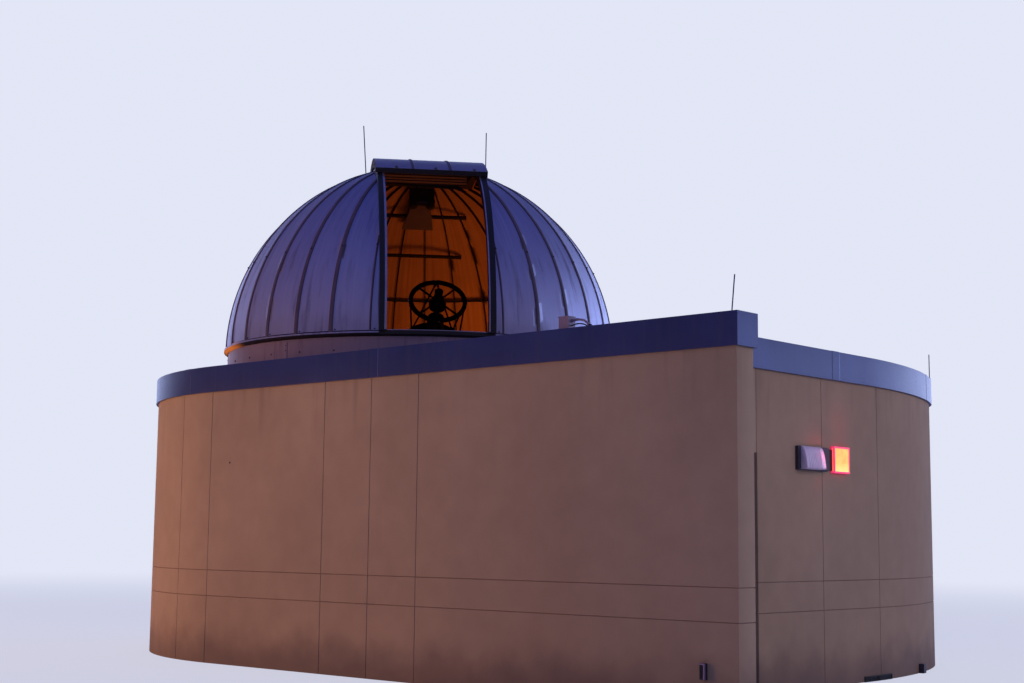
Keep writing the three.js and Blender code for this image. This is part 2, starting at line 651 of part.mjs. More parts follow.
function makeTruss() {
  const [ringLow, ringHigh] = [trussRing.at - trussRing.half, trussRing.at + trussRing.half]
  const top = points([trussRing.inner, ringLow], [trussRing.radius, ringLow],
    [trussRing.radius, ringHigh], [trussRing.inner, ringHigh])
  const seatLow = cell.front + gap
  const seatHigh = seatLow + trussSeat.thickness
  const low = points([trussSeat.inner, seatLow], [trussSeat.outer, seatLow],
    [trussSeat.outer, seatHigh], [trussSeat.inner, seatHigh])
  const seatMiddle = (seatLow + seatHigh) / 2
  let truss = solidOf(aboutTube(top)).add(solidOf(aboutTube(low)))
  for (let corner = 0; corner < 4; corner++) {
    const at = radians(90 * corner)
    const node = [trussRing.at, poles.topNode * Math.cos(at), poles.topNode * Math.sin(at)]
    for (const turn of [-45, 45]) {
      const lower = at + radians(turn)
      const seat = [seatMiddle, poles.lowNode * Math.cos(lower), poles.lowNode * Math.sin(lower)]
      truss = truss.add(solidOf(rodBetween(seat, node, poles.radius)))
    }
  }
  place('telescope_truss', truss, 'darkSteel', tubeFrame)
}

// The vanes end at the ring's facets, just short of touching them
function makeSecondary() {
  const { back, shoulder, neck, front, radius, noseRadius } = secondary
  const outline = points([0, back], [radius, back], [radius, shoulder],
    [noseRadius, neck], [noseRadius, front], [0, front])
  const tip = trussRing.inner - vane.tipGap
  let housing = solidOf(aboutTube(outline, 16))
  for (let i = 0; i < 4; i++) {
    const blade = box([vane.from, vane.inner, -vane.half], [vane.to, tip, vane.half])
    housing = housing.add(solidOf(blade.rotateX(radians(90 * i + 45))))
  }
  place('secondary_mirror', housing, 'darkSteel', tubeFrame)
}

makeFloor()
makeWalls()
makeCoping()
makeRoof()
makeRingWall()
makeTrack()
makeDoor()
makeFittings()
makeWallRods()
makeBaseRing()
makeShell()
makeRails()
makeHoopAndTies()
makeDrive()
makeDomeRods()
makeShutter()
makePier()
makeFork()
makeMirrorCell()
makeTruss()
makeSecondary()

export default observatory
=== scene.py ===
from math import acos, asin, atan, cos, degrees, inf, pi, radians, sin, sqrt, tan, tau

import bmesh
import bpy
from mathutils import Matrix, Vector


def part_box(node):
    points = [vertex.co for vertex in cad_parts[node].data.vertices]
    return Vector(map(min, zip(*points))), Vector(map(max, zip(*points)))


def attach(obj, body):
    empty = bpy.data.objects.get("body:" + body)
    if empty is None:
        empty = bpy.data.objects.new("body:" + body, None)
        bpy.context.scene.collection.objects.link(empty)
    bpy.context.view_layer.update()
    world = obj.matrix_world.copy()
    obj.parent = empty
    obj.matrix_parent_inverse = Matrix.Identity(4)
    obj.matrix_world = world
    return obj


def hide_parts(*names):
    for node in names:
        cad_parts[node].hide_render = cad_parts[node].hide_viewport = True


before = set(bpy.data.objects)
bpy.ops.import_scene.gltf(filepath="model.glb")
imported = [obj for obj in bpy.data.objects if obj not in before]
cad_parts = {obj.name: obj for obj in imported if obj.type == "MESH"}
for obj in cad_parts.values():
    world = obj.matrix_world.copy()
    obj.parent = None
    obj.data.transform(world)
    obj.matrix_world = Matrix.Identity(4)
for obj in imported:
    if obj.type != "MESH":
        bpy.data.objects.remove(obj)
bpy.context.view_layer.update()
scene = bpy.context.scene
print("frame loaded:", len(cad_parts), "nodes")


def lowOf(node):
    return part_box(node)[0]


def highOf(node):
    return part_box(node)[1]


building = {  # plan and levels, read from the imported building, metres
    "frontY": lowOf("front_wall").y,
    "finBackY": highOf("front_wall").y,
    "finEndX": highOf("front_wall").x,
    "innerX": lowOf("side_wall").x,
    "sideX": highOf("side_wall").x,
    "backY": highOf("back_wall").y,
    "wallTop": highOf("front_wall").z,
    "copingTop": highOf("coping_side").z,
    "copingBottom": lowOf("coping_side").z,
    "roofTop": highOf("roof_front").z,
    "leftRadius": -lowOf("left_wall_middle").x,
    "rightRadius": 6.0,
    "rightSweep": 24.0,  # degrees
    "seat": 0.0003,  # gap between pieces that touch
}
building["leftCentre"] = (0, (building["frontY"] + building["backY"]) / 2)
building["rightCentre"] = (building["sideX"] - building["rightRadius"], highOf("side_wall").y)
sweepSine = sin(radians(building["rightSweep"]))
building["cornerRadius"] = (
    building["backY"] - building["rightCentre"][1] - building["rightRadius"] * sweepSine) / (1 - sweepSine)
building["cornerCentre"] = (highOf("back_wall").x, building["backY"] - building["cornerRadius"])

dome = {
    "centreZ": 3.73,
    "bearing": -40.07,  # where the slit looks, degrees from +X
    "radius": 2.505,
    "skin": 0.006,
    "firstSeam": 18.0,  # degrees from the middle of the slit
    "wholeGores": 29,  # from the first seam on one side, round the back, to the first on the other
    "frontGores": 7,
    "flatness": 0.8,  # 1 is a gore that is flat across
    "slitEdge": 0.6763,
    "slitHalf": 0.593,
    "slitEnd": 98.0,  # degrees up and over, from the front
    "railTop": 2.51,
    "hoopLevel": 26.0,  # latitude of the inner hoop
}
dome["foot"] = degrees(asin((highOf("dome_base_ring").z + building["seat"] - dome["centreZ"]) / dome["radius"]))
dome["gore"] = (360 - 2 * dome["firstSeam"]) / dome["wholeGores"]
dome["seams"] = [dome["firstSeam"] + i * dome["gore"] for i in range(dome["wholeGores"] // 2 + 1)]
domeTurn = Matrix.Rotation(radians(dome["bearing"]), 4, "Z")
domePlace = Matrix.Translation((0, 0, dome["centreZ"])) @ domeTurn
bodyPlaces = {"dome": domePlace, "shutter": domePlace}  # the frames that pieces on these bodies are drawn in


# Mesh helpers

def raised(point, height):
    return point + Vector((0, 0, height))


def addLoft(mesh, rings, material=0, loop=False):  # material: an index, or a rule for a face
    rows = [[mesh.verts.new(point) for point in points] for points in rings]
    count = len(rows[0])
    pairs = list(zip(rows, rows[1:])) + ([(rows[-1], rows[0])] if loop else [])
    byFace = material if callable(material) else lambda row, side: material
    for row, (lower, upper) in enumerate(pairs):
        for i in range(count):
            j = (i + 1) % count
            mesh.faces.new((lower[i], lower[j], upper[j], upper[i])).material_index = byFace(row, i)
    if not loop:
        for points in (rows[0], rows[-1]):
            mesh.faces.new(points).material_index = 0 if callable(material) else material


def addPost(mesh, outline, low, high, material=0):  # a plan outline between two levels
    addLoft(mesh, [[Vector((x, y, z)) for x, y in outline] for z in (low, high)], material)


def addBox(mesh, lowest, highest, material=0):
    (x0, y0, z0), (x1, y1, z1) = lowest, highest
    addPost(mesh, [(x0, y0), (x1, y0), (x1, y1), (x0, y1)], z0, z1, material)


def discPoints(centre, normal, radius, sides):
    normal = Vector(normal).normalized()
    side = normal.cross(Vector((0, 0, 1)) if abs(normal.z) < 0.9 else Vector((1, 0, 0))).normalized()
    up = side.cross(normal)
    angles = [tau * i / sides for i in range(sides)]
    return [Vector(centre) + side * (radius * cos(a)) + up * (radius * sin(a)) for a in angles]


def addTurned(mesh, centre, axis, profile, sides=16, material=0):  # profile: (radius, distance along the axis)
    axis = Vector(axis).normalized()
    rings = [discPoints(Vector(centre) + axis * along, axis, radius, sides) for radius, along in profile]
    addLoft(mesh, rings, material)


def addRod(mesh, start, end, radius, sides):
    axis = Vector(end) - Vector(start)
    addLoft(mesh, [discPoints(place, axis, radius, sides) for place in (start, end)])


def addPipe(mesh, route, radius, sides, material):
    rings = []
    for i, point in enumerate(route):
        along = route[min(i + 1, len(route) - 1)] - route[max(i - 1, 0)]
        rings.append(discPoints(point, along, radius, sides))
    addLoft(mesh, rings, material)


def smoothRoute(points, steps):  # Catmull-Rom through the points
    points = [Vector(point) for point in points]
    padded = [points[0] * 2 - points[1], *points, points[-1] * 2 - points[-2]]
    route = []
    for p0, p1, p2, p3 in zip(padded, padded[1:], padded[2:], padded[3:]):
        for i in range(steps):
            t = i / steps
            route.append(0.5 * (2 * p1 + (p2 - p0) * t + (2 * p0 - 5 * p1 + 4 * p2 - p3) * t ** 2
                                + (3 * p1 - p0 - 3 * p2 + p3) * t ** 3))
    return route + [points[-1]]


def addBolt(mesh, place, normal, size, material=0):  # washer and hexagon head
    addTurned(mesh, place, normal, [(size, -size * 0.3), (size, size * 0.15)], 12, material)
    head = [(size * 0.62, size * 0.1), (size * 0.62, size * 0.55), (size * 0.5, size * 0.65)]
    addTurned(mesh, place, normal, head, 6, material)


def addScrew(mesh, place, normal, material=1):  # a flat head, almost flush
    addTurned(mesh, place, normal, [(0.004, -0.001), (0.004, 0.0008)], 10, material)


def addSweep(mesh, frames, profile, material=0, loop=False):  # profile: (outwards from the line, height)
    rings = [[raised(point + outward * a, b) for a, b in profile] for point, outward in frames]
    addLoft(mesh, rings, material, loop=loop)


def polar(angle, radius=1):
    return Vector((cos(radians(angle)), sin(radians(angle)), 0)) * radius


def arcFrame(centre, radius, angle):
    outward = polar(angle)
    return Vector((*centre, 0)) + outward * radius, outward


def arcFrames(centre, radius, start, end, step):
    count = max(1, round(abs(end - start) / step))
    return [arcFrame(centre, radius, start + (end - start) * i / count) for i in range(count + 1)]


def solidFrom(node):
    mesh = bmesh.new()
    mesh.from_mesh(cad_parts[node].data)
    bmesh.ops.remove_doubles(mesh, verts=mesh.verts, dist=1e-5)
    bmesh.ops.dissolve_limit(mesh, angle_limit=radians(0.3), verts=mesh.verts, edges=mesh.edges)
    for face in mesh.faces:
        face.material_index = 0
    return mesh


def paintFaces(mesh, isSecond):  # the second material where the rule says
    mesh.normal_update()
    for face in mesh.faces:
        face.material_index = int(isSecond(face))


def meshFrom(name, mesh, materials, sharpAngle=35):
    bmesh.ops.recalc_face_normals(mesh, faces=mesh.faces)
    data = bpy.data.meshes.new(name)
    for material in materials:
        data.materials.append(material)
    mesh.to_mesh(data)
    mesh.free()
    if "custom_normal" in data.attributes:
        data.attributes.remove(data.attributes["custom_normal"])
    data.shade_smooth()
    data.set_sharp_from_angle(angle=radians(sharpAngle))
    return data


def addPiece(name, mesh, body, materials, node=None, arris=0.0, sharpAngle=35):
    place = bodyPlaces.get(body, Matrix())
    origin = Matrix.Translation(place.translation)
    if body in bodyPlaces:  # the turn goes into the mesh, so the piece's own box stays square to the building
        mesh.transform(origin.inverted() @ place)
    piece = bpy.data.objects.new(name, meshFrom(name, mesh, materials, sharpAngle))
    scene.collection.objects.link(piece)
    piece.matrix_world = origin
    if arris:
        bevel = piece.modifiers.new("softEdges", "BEVEL")
        bevel.width, bevel.segments = arris, 2
        bevel.limit_method, bevel.angle_limit = "ANGLE", radians(40)
        bevel.harden_normals = True
    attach(piece, body)
    if node:
        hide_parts(node)


def pieceName(node):  # front_wall gives frontWall
    first, *rest = node.split("_")
    return first + "".join(word.title() for word in rest)


def dressNode(node, body, material, arris=0.002, details=None, extras=()):
    mesh = solidFrom(node)
    if body in bodyPlaces:
        mesh.transform(bodyPlaces[body].inverted())
    if details:
        details(mesh)
    addPiece(pieceName(node), mesh, body, [material, *extras], node, arris)


# Node helpers

def newNode(tree, kind, inputs=None, **settings):
    made = tree.nodes.new("ShaderNode" + kind)
    for key, value in settings.items():
        setattr(made, key, value)
    for key, value in (inputs or {}).items():
        if isinstance(value, bpy.types.NodeSocket):
            tree.links.new(value, made.inputs[key])
        elif made.inputs[key].type == "RGBA" and len(value) == 3:
            made.inputs[key].default_value = (*value, 1)
        else:
            made.inputs[key].default_value = value
    return made


def calc(tree, operation, *values, clamp=False):
    return newNode(tree, "Math", dict(enumerate(values)), operation=operation, use_clamp=clamp).outputs[0]


def product(tree, first, second):
    return calc(tree, "MULTIPLY", first, second)


def measure(tree, operation, first, second=(0, 0, 0)):
    return newNode(tree, "VectorMath", {0: first, 1: second}, operation=operation).outputs["Value"]


def blendColours(tree, amount, first, second, kind="MIX"):
    return newNode(tree, "Mix", {0: amount, 6: first, 7: second}, data_type="RGBA", blend_type=kind).outputs[2]


def tint(tree, colour, mask, amount, other):  # the other colour over the first, where the mask says
    return blendColours(tree, product(tree, mask, amount), colour, other)


def remap(tree, value, fromLow, fromHigh, toLow=0.0, toHigh=1.0):
    settings = {"Value": value, "From Min": fromLow, "From Max": fromHigh, "To Min": toLow, "To Max": toHigh}
    return newNode(tree, "MapRange", settings, interpolation_type="SMOOTHSTEP").outputs[0]


def ownSpace(tree):
    return newNode(tree, "TexCoord").outputs["Object"]


def axesOf(tree, vector):
    return newNode(tree, "SeparateXYZ", {0: vector}).outputs


def joined(tree, x, y, z):
    return newNode(tree, "CombineXYZ", {0: x, 1: y, 2: z}).outputs[0]


def noiseAt(tree, vector, scale=1.0, detail=2.0):
    return newNode(tree, "TexNoise", {"Vector": vector, "Scale": scale, "Detail": detail}).outputs[0]


def newGroup(name, inputs, outputs=("Mask",)):
    group = bpy.data.node_groups.new(name, "ShaderNodeTree")
    for label, value in inputs.items():
        socket = group.interface.new_socket(label, in_out="INPUT", socket_type="NodeSocketFloat")
        socket.default_value = value
    for label in outputs:
        group.interface.new_socket(label, in_out="OUTPUT", socket_type="NodeSocketFloat")
    return group, group.nodes.new("NodeGroupInput").outputs, group.nodes.new("NodeGroupOutput").inputs


def useGroup(tree, group, **values):
    made = newNode(tree, "Group", node_tree=group)
    for label, value in values.items():
        made.inputs[label].default_value = value
    return made.outputs


def maskOf(tree, group, **values):
    return useGroup(tree, group, **values)["Mask"]


def newMaterial(name, **values):
    material = bpy.data.materials.new(name)
    material.use_nodes = True
    tree = material.node_tree
    tree.nodes.clear()
    shader = newNode(tree, "BsdfPrincipled")
    labels = {"metallic": "Metallic", "roughness": "Roughness", "coat": "Coat Weight", "glow": "Emission Strength",
              "coatRoughness": "Coat Roughness", "specular": "Specular IOR Level"}
    for key, value in values.items():
        shader.inputs[labels[key]].default_value = value
    newNode(tree, "OutputMaterial", {"Surface": shader.outputs[0]})
    return material, tree, shader


def connect(tree, shader, **sockets):
    labels = {"colour": "Base Color", "roughness": "Roughness", "normal": "Normal", "glowColour": "Emission Color"}
    for key, socket in sockets.items():
        tree.links.new(socket, shader.inputs[labels[key]])


def bumpFrom(tree, height, distance, strength, normal=None):
    inputs = {"Height": height, "Distance": distance, "Strength": strength}
    if normal:
        inputs["Normal"] = normal
    return newNode(tree, "Bump", inputs).outputs[0]


# Shared effects, each built once

def makeGrainGroup():
    group, given, result = newGroup("fineGrain", {"Scale": 200.0, "Coarseness": 0.6}, ("Height", "Speckle"))
    place = ownSpace(group)
    noise = newNode(group, "TexNoise", {"Vector": place, "Scale": given["Scale"], "Detail": 4.0,
                                        "Roughness": given["Coarseness"]})
    cells = newNode(group, "TexVoronoi", {"Vector": place, "Scale": given["Scale"]})
    speckle = remap(group, cells.outputs["Distance"], 0.05, 0.4, 1.0, 0.0)
    group.links.new(calc(group, "ADD", noise.outputs[0], product(group, speckle, 0.4)), result["Height"])
    group.links.new(speckle, result["Speckle"])
    return group


def makeCloudGroup():
    group, given, result = newGroup("cloudyTone", {"Scale": 1.0, "Contrast": 0.2, "Detail": 4.0})
    noise = noiseAt(group, ownSpace(group), given["Scale"], given["Detail"])
    start, end = [calc(group, operation, 0.5, given["Contrast"]) for operation in ("SUBTRACT", "ADD")]
    group.links.new(remap(group, noise, start, end), result["Mask"])
    return group


def makeStreakGroup():
    group, given, result = newGroup("rainStreaks", {"Scale": 8.0, "Length": 1.0, "Amount": 0.5})
    place = axesOf(group, ownSpace(group))
    wide = [product(group, place[axis], given["Scale"]) for axis in "XY"]
    drawn = joined(group, *wide, calc(group, "DIVIDE", place["Z"], given["Length"]))
    mask = remap(group, noiseAt(group, drawn, detail=3.0), 0.5, 0.78)
    group.links.new(product(group, mask, given["Amount"]), result["Mask"])
    return group


def makeMeridianGroup():  # streaks that run down the dome from its top
    group, given, result = newGroup("meridianStreaks", {"Scale": 20.0, "Length": 0.6, "Start": 0.5, "End": 0.75})
    place = axesOf(group, ownSpace(group))
    flat = calc(group, "SQRT", calc(group, "ADD", *[product(group, place[axis], place[axis]) for axis in "XY"]))
    narrow = calc(group, "DIVIDE", given["Scale"], calc(group, "MAXIMUM", flat, 0.001))
    over = calc(group, "DIVIDE", calc(group, "ARCTAN2", place["Z"], flat), given["Length"])
    drawn = joined(group, *[product(group, place[axis], narrow) for axis in "XY"], over)
    group.links.new(remap(group, noiseAt(group, drawn, detail=4.0), given["Start"], given["End"]), result["Mask"])
    return group


def makeWearAndHighlightGroup():
    # an edge mask for worn edges; on the coping it also paints a highlight along the top edge
    group, given, result = newGroup("edgeWearAndHighlight", {"Radius": 0.01, "Amount": 0.6})
    rounded = newNode(group, "Bevel", {"Radius": given["Radius"]}, samples=4).outputs[0]
    likeness = measure(group, "DOT_PRODUCT", rounded, newNode(group, "NewGeometry").outputs["Normal"])
    edge = remap(group, calc(group, "SUBTRACT", 1.0, likeness), 0.01, 0.2)
    broken = remap(group, noiseAt(group, ownSpace(group), 9.0), 0.35, 0.65)
    group.links.new(product(group, product(group, edge, broken), given["Amount"]), result["Mask"])
    return group


def makeHeightGroup():  # 1 below Low, 0 above High, with a ragged line between
    group, given, result = newGroup("lowBand", {"Low": 0.0, "High": 0.5, "Ragged": 0.3})
    place = ownSpace(group)
    ragged = product(group, calc(group, "SUBTRACT", noiseAt(group, place, 3.0, 4.0), 0.5), given["Ragged"])
    level = calc(group, "ADD", axesOf(group, place)["Z"], ragged)
    group.links.new(remap(group, level, given["Low"], given["High"], 1.0, 0.0), result["Mask"])
    return group


fineGrain = makeGrainGroup()
cloudyTone = makeCloudGroup()
rainStreaks = makeStreakGroup()
meridianStreaks = makeMeridianGroup()
edgeWearAndHighlight = makeWearAndHighlightGroup()
lowBand = makeHeightGroup()
print("shader groups made")


# Finishes

def twoScales(tree, broadScale, contrast, fineScale, share):  # broad patches with finer ones in them
    broad = maskOf(tree, cloudyTone, Scale=broadScale, Contrast=contrast)
    fine = maskOf(tree, cloudyTone, Scale=fineScale, Contrast=0.3, Detail=6.0)
    return calc(tree, "MULTIPLY_ADD", broad, share, product(tree, fine, 1 - share))


def unevenGloss(tree, grain, roughness, less, more):
    return remap(tree, grain["Height"], 0.2, 1.0, roughness - less, roughness + more)


stuccoFinish = {
    "light": (0.47, 0.375, 0.255),
    "dark": (0.38, 0.30, 0.205),
    "stain": (0.20, 0.15, 0.13),
    "soil": (0.16, 0.125, 0.11),
    "stainDrop": (2.3, 3.05),  # levels between which the stains under the coping fade in
    "soilTop": 0.55,
    "grain": 160.0,
    "grainDepth": 0.0035,
    "trowelDepth": 0.0025,
}


def makeStucco():
    finish = stuccoFinish
    material, tree, shader = newMaterial("sandStucco", roughness=0.92, specular=0.25)
    colour = blendColours(tree, twoScales(tree, 0.55, 0.22, 4.5, 0.65), finish["light"], finish["dark"])
    streaks = maskOf(tree, rainStreaks, Scale=7.0, Length=1.6, Amount=0.34)
    upper = remap(tree, axesOf(tree, ownSpace(tree))["Z"], *finish["stainDrop"])
    colour = tint(tree, colour, streaks, upper, finish["stain"])
    # darker towards the foot: real soiling, made stronger as painted shade
    soil = maskOf(tree, lowBand, Low=0.0, High=finish["soilTop"], Ragged=0.5)
    colour = tint(tree, colour, soil, 0.7, finish["soil"])
    grain = useGroup(tree, fineGrain, Scale=finish["grain"], Coarseness=0.7)
    colour = tint(tree, colour, grain["Speckle"], 0.12, finish["stain"])
    trowel = maskOf(tree, cloudyTone, Scale=9.0, Contrast=0.45, Detail=3.0)
    trowelled = bumpFrom(tree, trowel, finish["trowelDepth"], 0.35)
    connect(tree, shader, colour=colour,
            normal=bumpFrom(tree, grain["Height"], finish["grainDepth"], 0.5, trowelled))
    return material


def makeMottled(name, first, second, scale, contrast=0.35, detail=4.0, **values):
    material, tree, shader = newMaterial(name, **values)
    tone = maskOf(tree, cloudyTone, Scale=scale, Contrast=contrast, Detail=detail)
    colour = blendColours(tree, tone, first, second)
    connect(tree, shader, colour=colour, **({"glowColour": colour} if "glow" in values else {}))
    return material


def makeSheet(name, light, dark, streak, worn, metallic, roughness, streaks, wear=0.5):
    material, tree, shader = newMaterial(name, metallic=metallic)
    colour = blendColours(tree, maskOf(tree, cloudyTone, Scale=1.4, Contrast=0.3), light, dark)
    marks = maskOf(tree, rainStreaks, Scale=16.0, Length=0.8, Amount=streaks)
    colour = blendColours(tree, marks, colour, streak)
    colour = blendColours(tree, maskOf(tree, edgeWearAndHighlight, Radius=0.006, Amount=wear), colour, worn)
    grain = useGroup(tree, fineGrain, Scale=60.0, Coarseness=0.6)
    rough = calc(tree, "MULTIPLY_ADD", marks, 0.2, unevenGloss(tree, grain, roughness, 0.07, 0.1), clamp=True)
    wave = maskOf(tree, cloudyTone, Scale=1.8, Contrast=0.5, Detail=1.0)
    connect(tree, shader, colour=colour, roughness=rough, normal=bumpFrom(tree, wave, 0.004, 0.6))
    return material


domeFinish = {
    "top": (0.23, 0.25, 0.49),
    "foot": (0.43, 0.45, 0.70),
    "streak": (0.12, 0.11, 0.20),
    "pale": (0.60, 0.62, 0.80),
    "paleShare": 0.28,
    "metallic": 0.72,
    "roughness": 0.42,
    "wave": 0.006,
}


def rolledSheet(tree, strength):  # the slow waves of rolled sheet
    wave = maskOf(tree, cloudyTone, Scale=2.6, Contrast=0.5, Detail=1.0)
    return bumpFrom(tree, wave, domeFinish["wave"], strength)


def makeDomeSkin():
    finish = domeFinish
    material, tree, shader = newMaterial("weatheredAluminium", metallic=finish["metallic"])
    # painted shade: the skin is darker towards the top and lighter at its foot
    high = remap(tree, axesOf(tree, ownSpace(tree))["Z"], 0.0, dome["radius"] * 0.85)
    colour = blendColours(tree, high, finish["foot"], finish["top"])
    own = newNode(tree, "NewGeometry").outputs["Random Per Island"]
    colour = tint(tree, colour, own, finish["paleShare"], finish["pale"])
    fine = maskOf(tree, meridianStreaks, Scale=95.0, Length=0.5, Start=0.42, End=0.8)
    colour = tint(tree, colour, fine, finish["paleShare"], finish["pale"])
    dirty = maskOf(tree, meridianStreaks, Scale=30.0, Length=0.26, Start=0.48, End=0.78)
    smudge = maskOf(tree, cloudyTone, Scale=2.2, Contrast=0.25)
    dirt = product(tree, dirty, remap(tree, smudge, 0.0, 1.0, 0.25, 0.9))
    colour = tint(tree, colour, dirt, 0.7, finish["streak"])
    low = maskOf(tree, lowBand, Low=0.0, High=0.35, Ragged=0.35)
    colour = tint(tree, colour, low, 0.25, finish["streak"])
    grain = useGroup(tree, fineGrain, Scale=45.0, Coarseness=0.65)
    rough = unevenGloss(tree, grain, finish["roughness"], 0.08, 0.12)
    rough = calc(tree, "MULTIPLY_ADD", dirt, 0.25, rough, clamp=True)
    normal = bumpFrom(tree, grain["Height"], 0.0006, 0.3, rolledSheet(tree, 0.7))
    connect(tree, shader, colour=colour, roughness=rough, normal=normal)
    return material


liningFinish = {"bright": (0.50, 0.25, 0.10), "dull": (0.25, 0.11, 0.04), "warmth": (1.0, 0.4, 0.2)}


def makeLining(name, glow):  # the inside of the dome, warm under its own lamps; its orange-brown colour and its glow are painted lamplight
    finish = liningFinish
    material, tree, shader = newMaterial(name, metallic=0.25, roughness=0.62, glow=glow)
    fine = maskOf(tree, meridianStreaks, Scale=60.0, Length=0.7, Start=0.35, End=0.75)
    smudge = maskOf(tree, cloudyTone, Scale=1.6, Contrast=0.25)
    colour = tint(tree, finish["bright"], fine, 0.5, finish["dull"])
    colour = tint(tree, colour, smudge, 0.4, finish["dull"])
    lit = blendColours(tree, 1.0, colour, finish["warmth"], "MULTIPLY")
    connect(tree, shader, colour=colour, glowColour=lit, normal=rolledSheet(tree, 0.6))
    return material


def makePaint(name, colour, worn, roughness=0.45, metallic=0.0, wear=0.3, specular=0.5):
    material, tree, shader = newMaterial(name, metallic=metallic, specular=specular)
    deep = tuple(value * 0.72 for value in colour)
    base = blendColours(tree, maskOf(tree, cloudyTone, Scale=5.0, Contrast=0.35), colour, deep)
    grain = useGroup(tree, fineGrain, Scale=300.0, Coarseness=0.5)
    base = tint(tree, base, grain["Speckle"], 0.1, worn)
    base = blendColours(tree, maskOf(tree, edgeWearAndHighlight, Radius=0.004, Amount=wear), base, worn)
    connect(tree, shader, colour=base, roughness=unevenGloss(tree, grain, roughness, 0.06, 0.08),
            normal=bumpFrom(tree, grain["Height"], 0.0004, 0.4))
    return material


def makeConcrete(name, light, dark, depth=0.002):
    material, tree, shader = newMaterial(name, roughness=0.85, specular=0.3)
    colour = blendColours(tree, twoScales(tree, 0.9, 0.25, 7.0, 0.6), light, dark)
    grain = useGroup(tree, fineGrain, Scale=90.0, Coarseness=0.7)
    colour = tint(tree, colour, grain["Speckle"], 0.15, dark)
    connect(tree, shader, colour=colour, normal=bumpFrom(tree, grain["Height"], depth, 0.4))
    return material


signFinish = {
    "hot": (1.0, 0.80, 0.20),
    "warm": (1.0, 0.36, 0.03),
    "edge": (1.0, 0.02, 0.08),
    "edgePale": (1.0, 0.05, 0.22),
    "faceGlow": 0.95,
    "edgeGlow": 0.8,
}


def makeSignFace():
    material, tree, shader = newMaterial("litSignFace", roughness=0.35, glow=signFinish["faceGlow"])
    low, high = lowOf("lit_sign").z, highOf("lit_sign").z
    lower = remap(tree, axesOf(tree, ownSpace(tree))["Z"], low, (low + high) / 2, 1.0, 0.0)
    patchy = maskOf(tree, cloudyTone, Scale=16.0, Contrast=0.4)
    heat = calc(tree, "MULTIPLY_ADD", patchy, 0.35, product(tree, lower, 0.65))
    colour = blendColours(tree, heat, signFinish["warm"], signFinish["hot"])
    connect(tree, shader, colour=colour, glowColour=colour)
    return material


lipFinish = {
    "light": (0.022, 0.018, 0.026),
    "dark": (0.012, 0.010, 0.014),
    "glow": (1.0, 0.24, 0.03),
    "glowPlace": (-1.23, -2.21, 3.75),
    "glowReach": (0.2, 0.75),
    "strength": 0.5,
}


def makeRingLip():  # dark, with a painted glow, fixed in place, for the lamplight that leaks out under the dome on one side
    finish = lipFinish
    material, tree, shader = newMaterial("ringLip", roughness=0.6, specular=0.2, glow=finish["strength"])
    tone = maskOf(tree, cloudyTone, Scale=8.0, Contrast=0.35)
    away = measure(tree, "DISTANCE", newNode(tree, "NewGeometry").outputs["Position"], finish["glowPlace"])
    lit = blendColours(tree, remap(tree, away, *finish["glowReach"], 1.0, 0.0), (0, 0, 0), finish["glow"])
    connect(tree, shader, colour=blendColours(tree, tone, finish["light"], finish["dark"]), glowColour=lit)
    return material


sandStucco = makeStucco()
jointSealant = makeMottled("jointSealant", (0.27, 0.205, 0.155), (0.20, 0.15, 0.12), 6.0, 0.3,
                           roughness=0.8, specular=0.2)
# the coping's pale blue worn edges are wear, and also a painted highlight along its top edge
# light, dark, streaks and worn edges, then metallic, roughness and the streaks' strength
copingSheet = makeSheet("slateBlueSheet", (0.052, 0.073, 0.215), (0.036, 0.051, 0.158), (0.085, 0.095, 0.17),
                        (0.22, 0.26, 0.42), 0.35, 0.34, 0.3)
ringSheet = makeSheet("ringWallSheet", (0.33, 0.27, 0.35), (0.25, 0.20, 0.28), (0.15, 0.11, 0.14),
                      (0.5, 0.45, 0.52), 0.45, 0.5, 0.5, wear=0.4)
hoodSheet = makeSheet("hoodSheet", (0.26, 0.27, 0.46), (0.19, 0.20, 0.36), (0.13, 0.12, 0.2),
                      (0.6, 0.6, 0.7), 0.6, 0.4, 0.4)
domeSkin = makeDomeSkin()
# both linings carry painted lamplight as glow; the header's is a brighter lit copy of the dome's
domeLining = makeLining("domeLining", 0.004)
headerLining = makeLining("headerLining", 0.045)
# colour and worn edges, then roughness and metallic
ribMetal = makePaint("seamCover", (0.115, 0.092, 0.145), (0.22, 0.19, 0.27), 0.55, 0.3)
brownPaint = makePaint("brownPaint", (0.030, 0.018, 0.014), (0.10, 0.07, 0.06), 0.7, specular=0.05)
darkPaint = makePaint("blackSatinPaint", (0.012, 0.012, 0.016), (0.06, 0.06, 0.07), 0.5)
tubePaint = makePaint("blackTubePaint", (0.0025, 0.0024, 0.0025), (0.014, 0.013, 0.014), 0.6, wear=0.2,
                      specular=0.05)
brightTrim = makePaint("brightAluminium", (0.42, 0.42, 0.62), (0.66, 0.66, 0.78), 0.3, 0.7)
rodFinish = makePaint("drawnRod", (0.10, 0.095, 0.21), (0.4, 0.4, 0.5), 0.35, 0.6, wear=0.2)
doorFinish = makePaint("doorPaint", (0.10, 0.10, 0.125), (0.3, 0.3, 0.33), 0.42, 0.1, wear=0.4)
housingFinish = makePaint("greyHousing", (0.045, 0.045, 0.065), (0.14, 0.14, 0.17), 0.55)
boxFinish = makePaint("greyBox", (0.34, 0.29, 0.42), (0.5, 0.47, 0.6), 0.45, 0.2)
steelFinish = makePaint("brushedSteel", (0.42, 0.42, 0.44), (0.7, 0.7, 0.72), 0.28, 0.9)
concreteFinish = makeConcrete("trowelledConcrete", (0.42, 0.41, 0.40), (0.32, 0.31, 0.30))
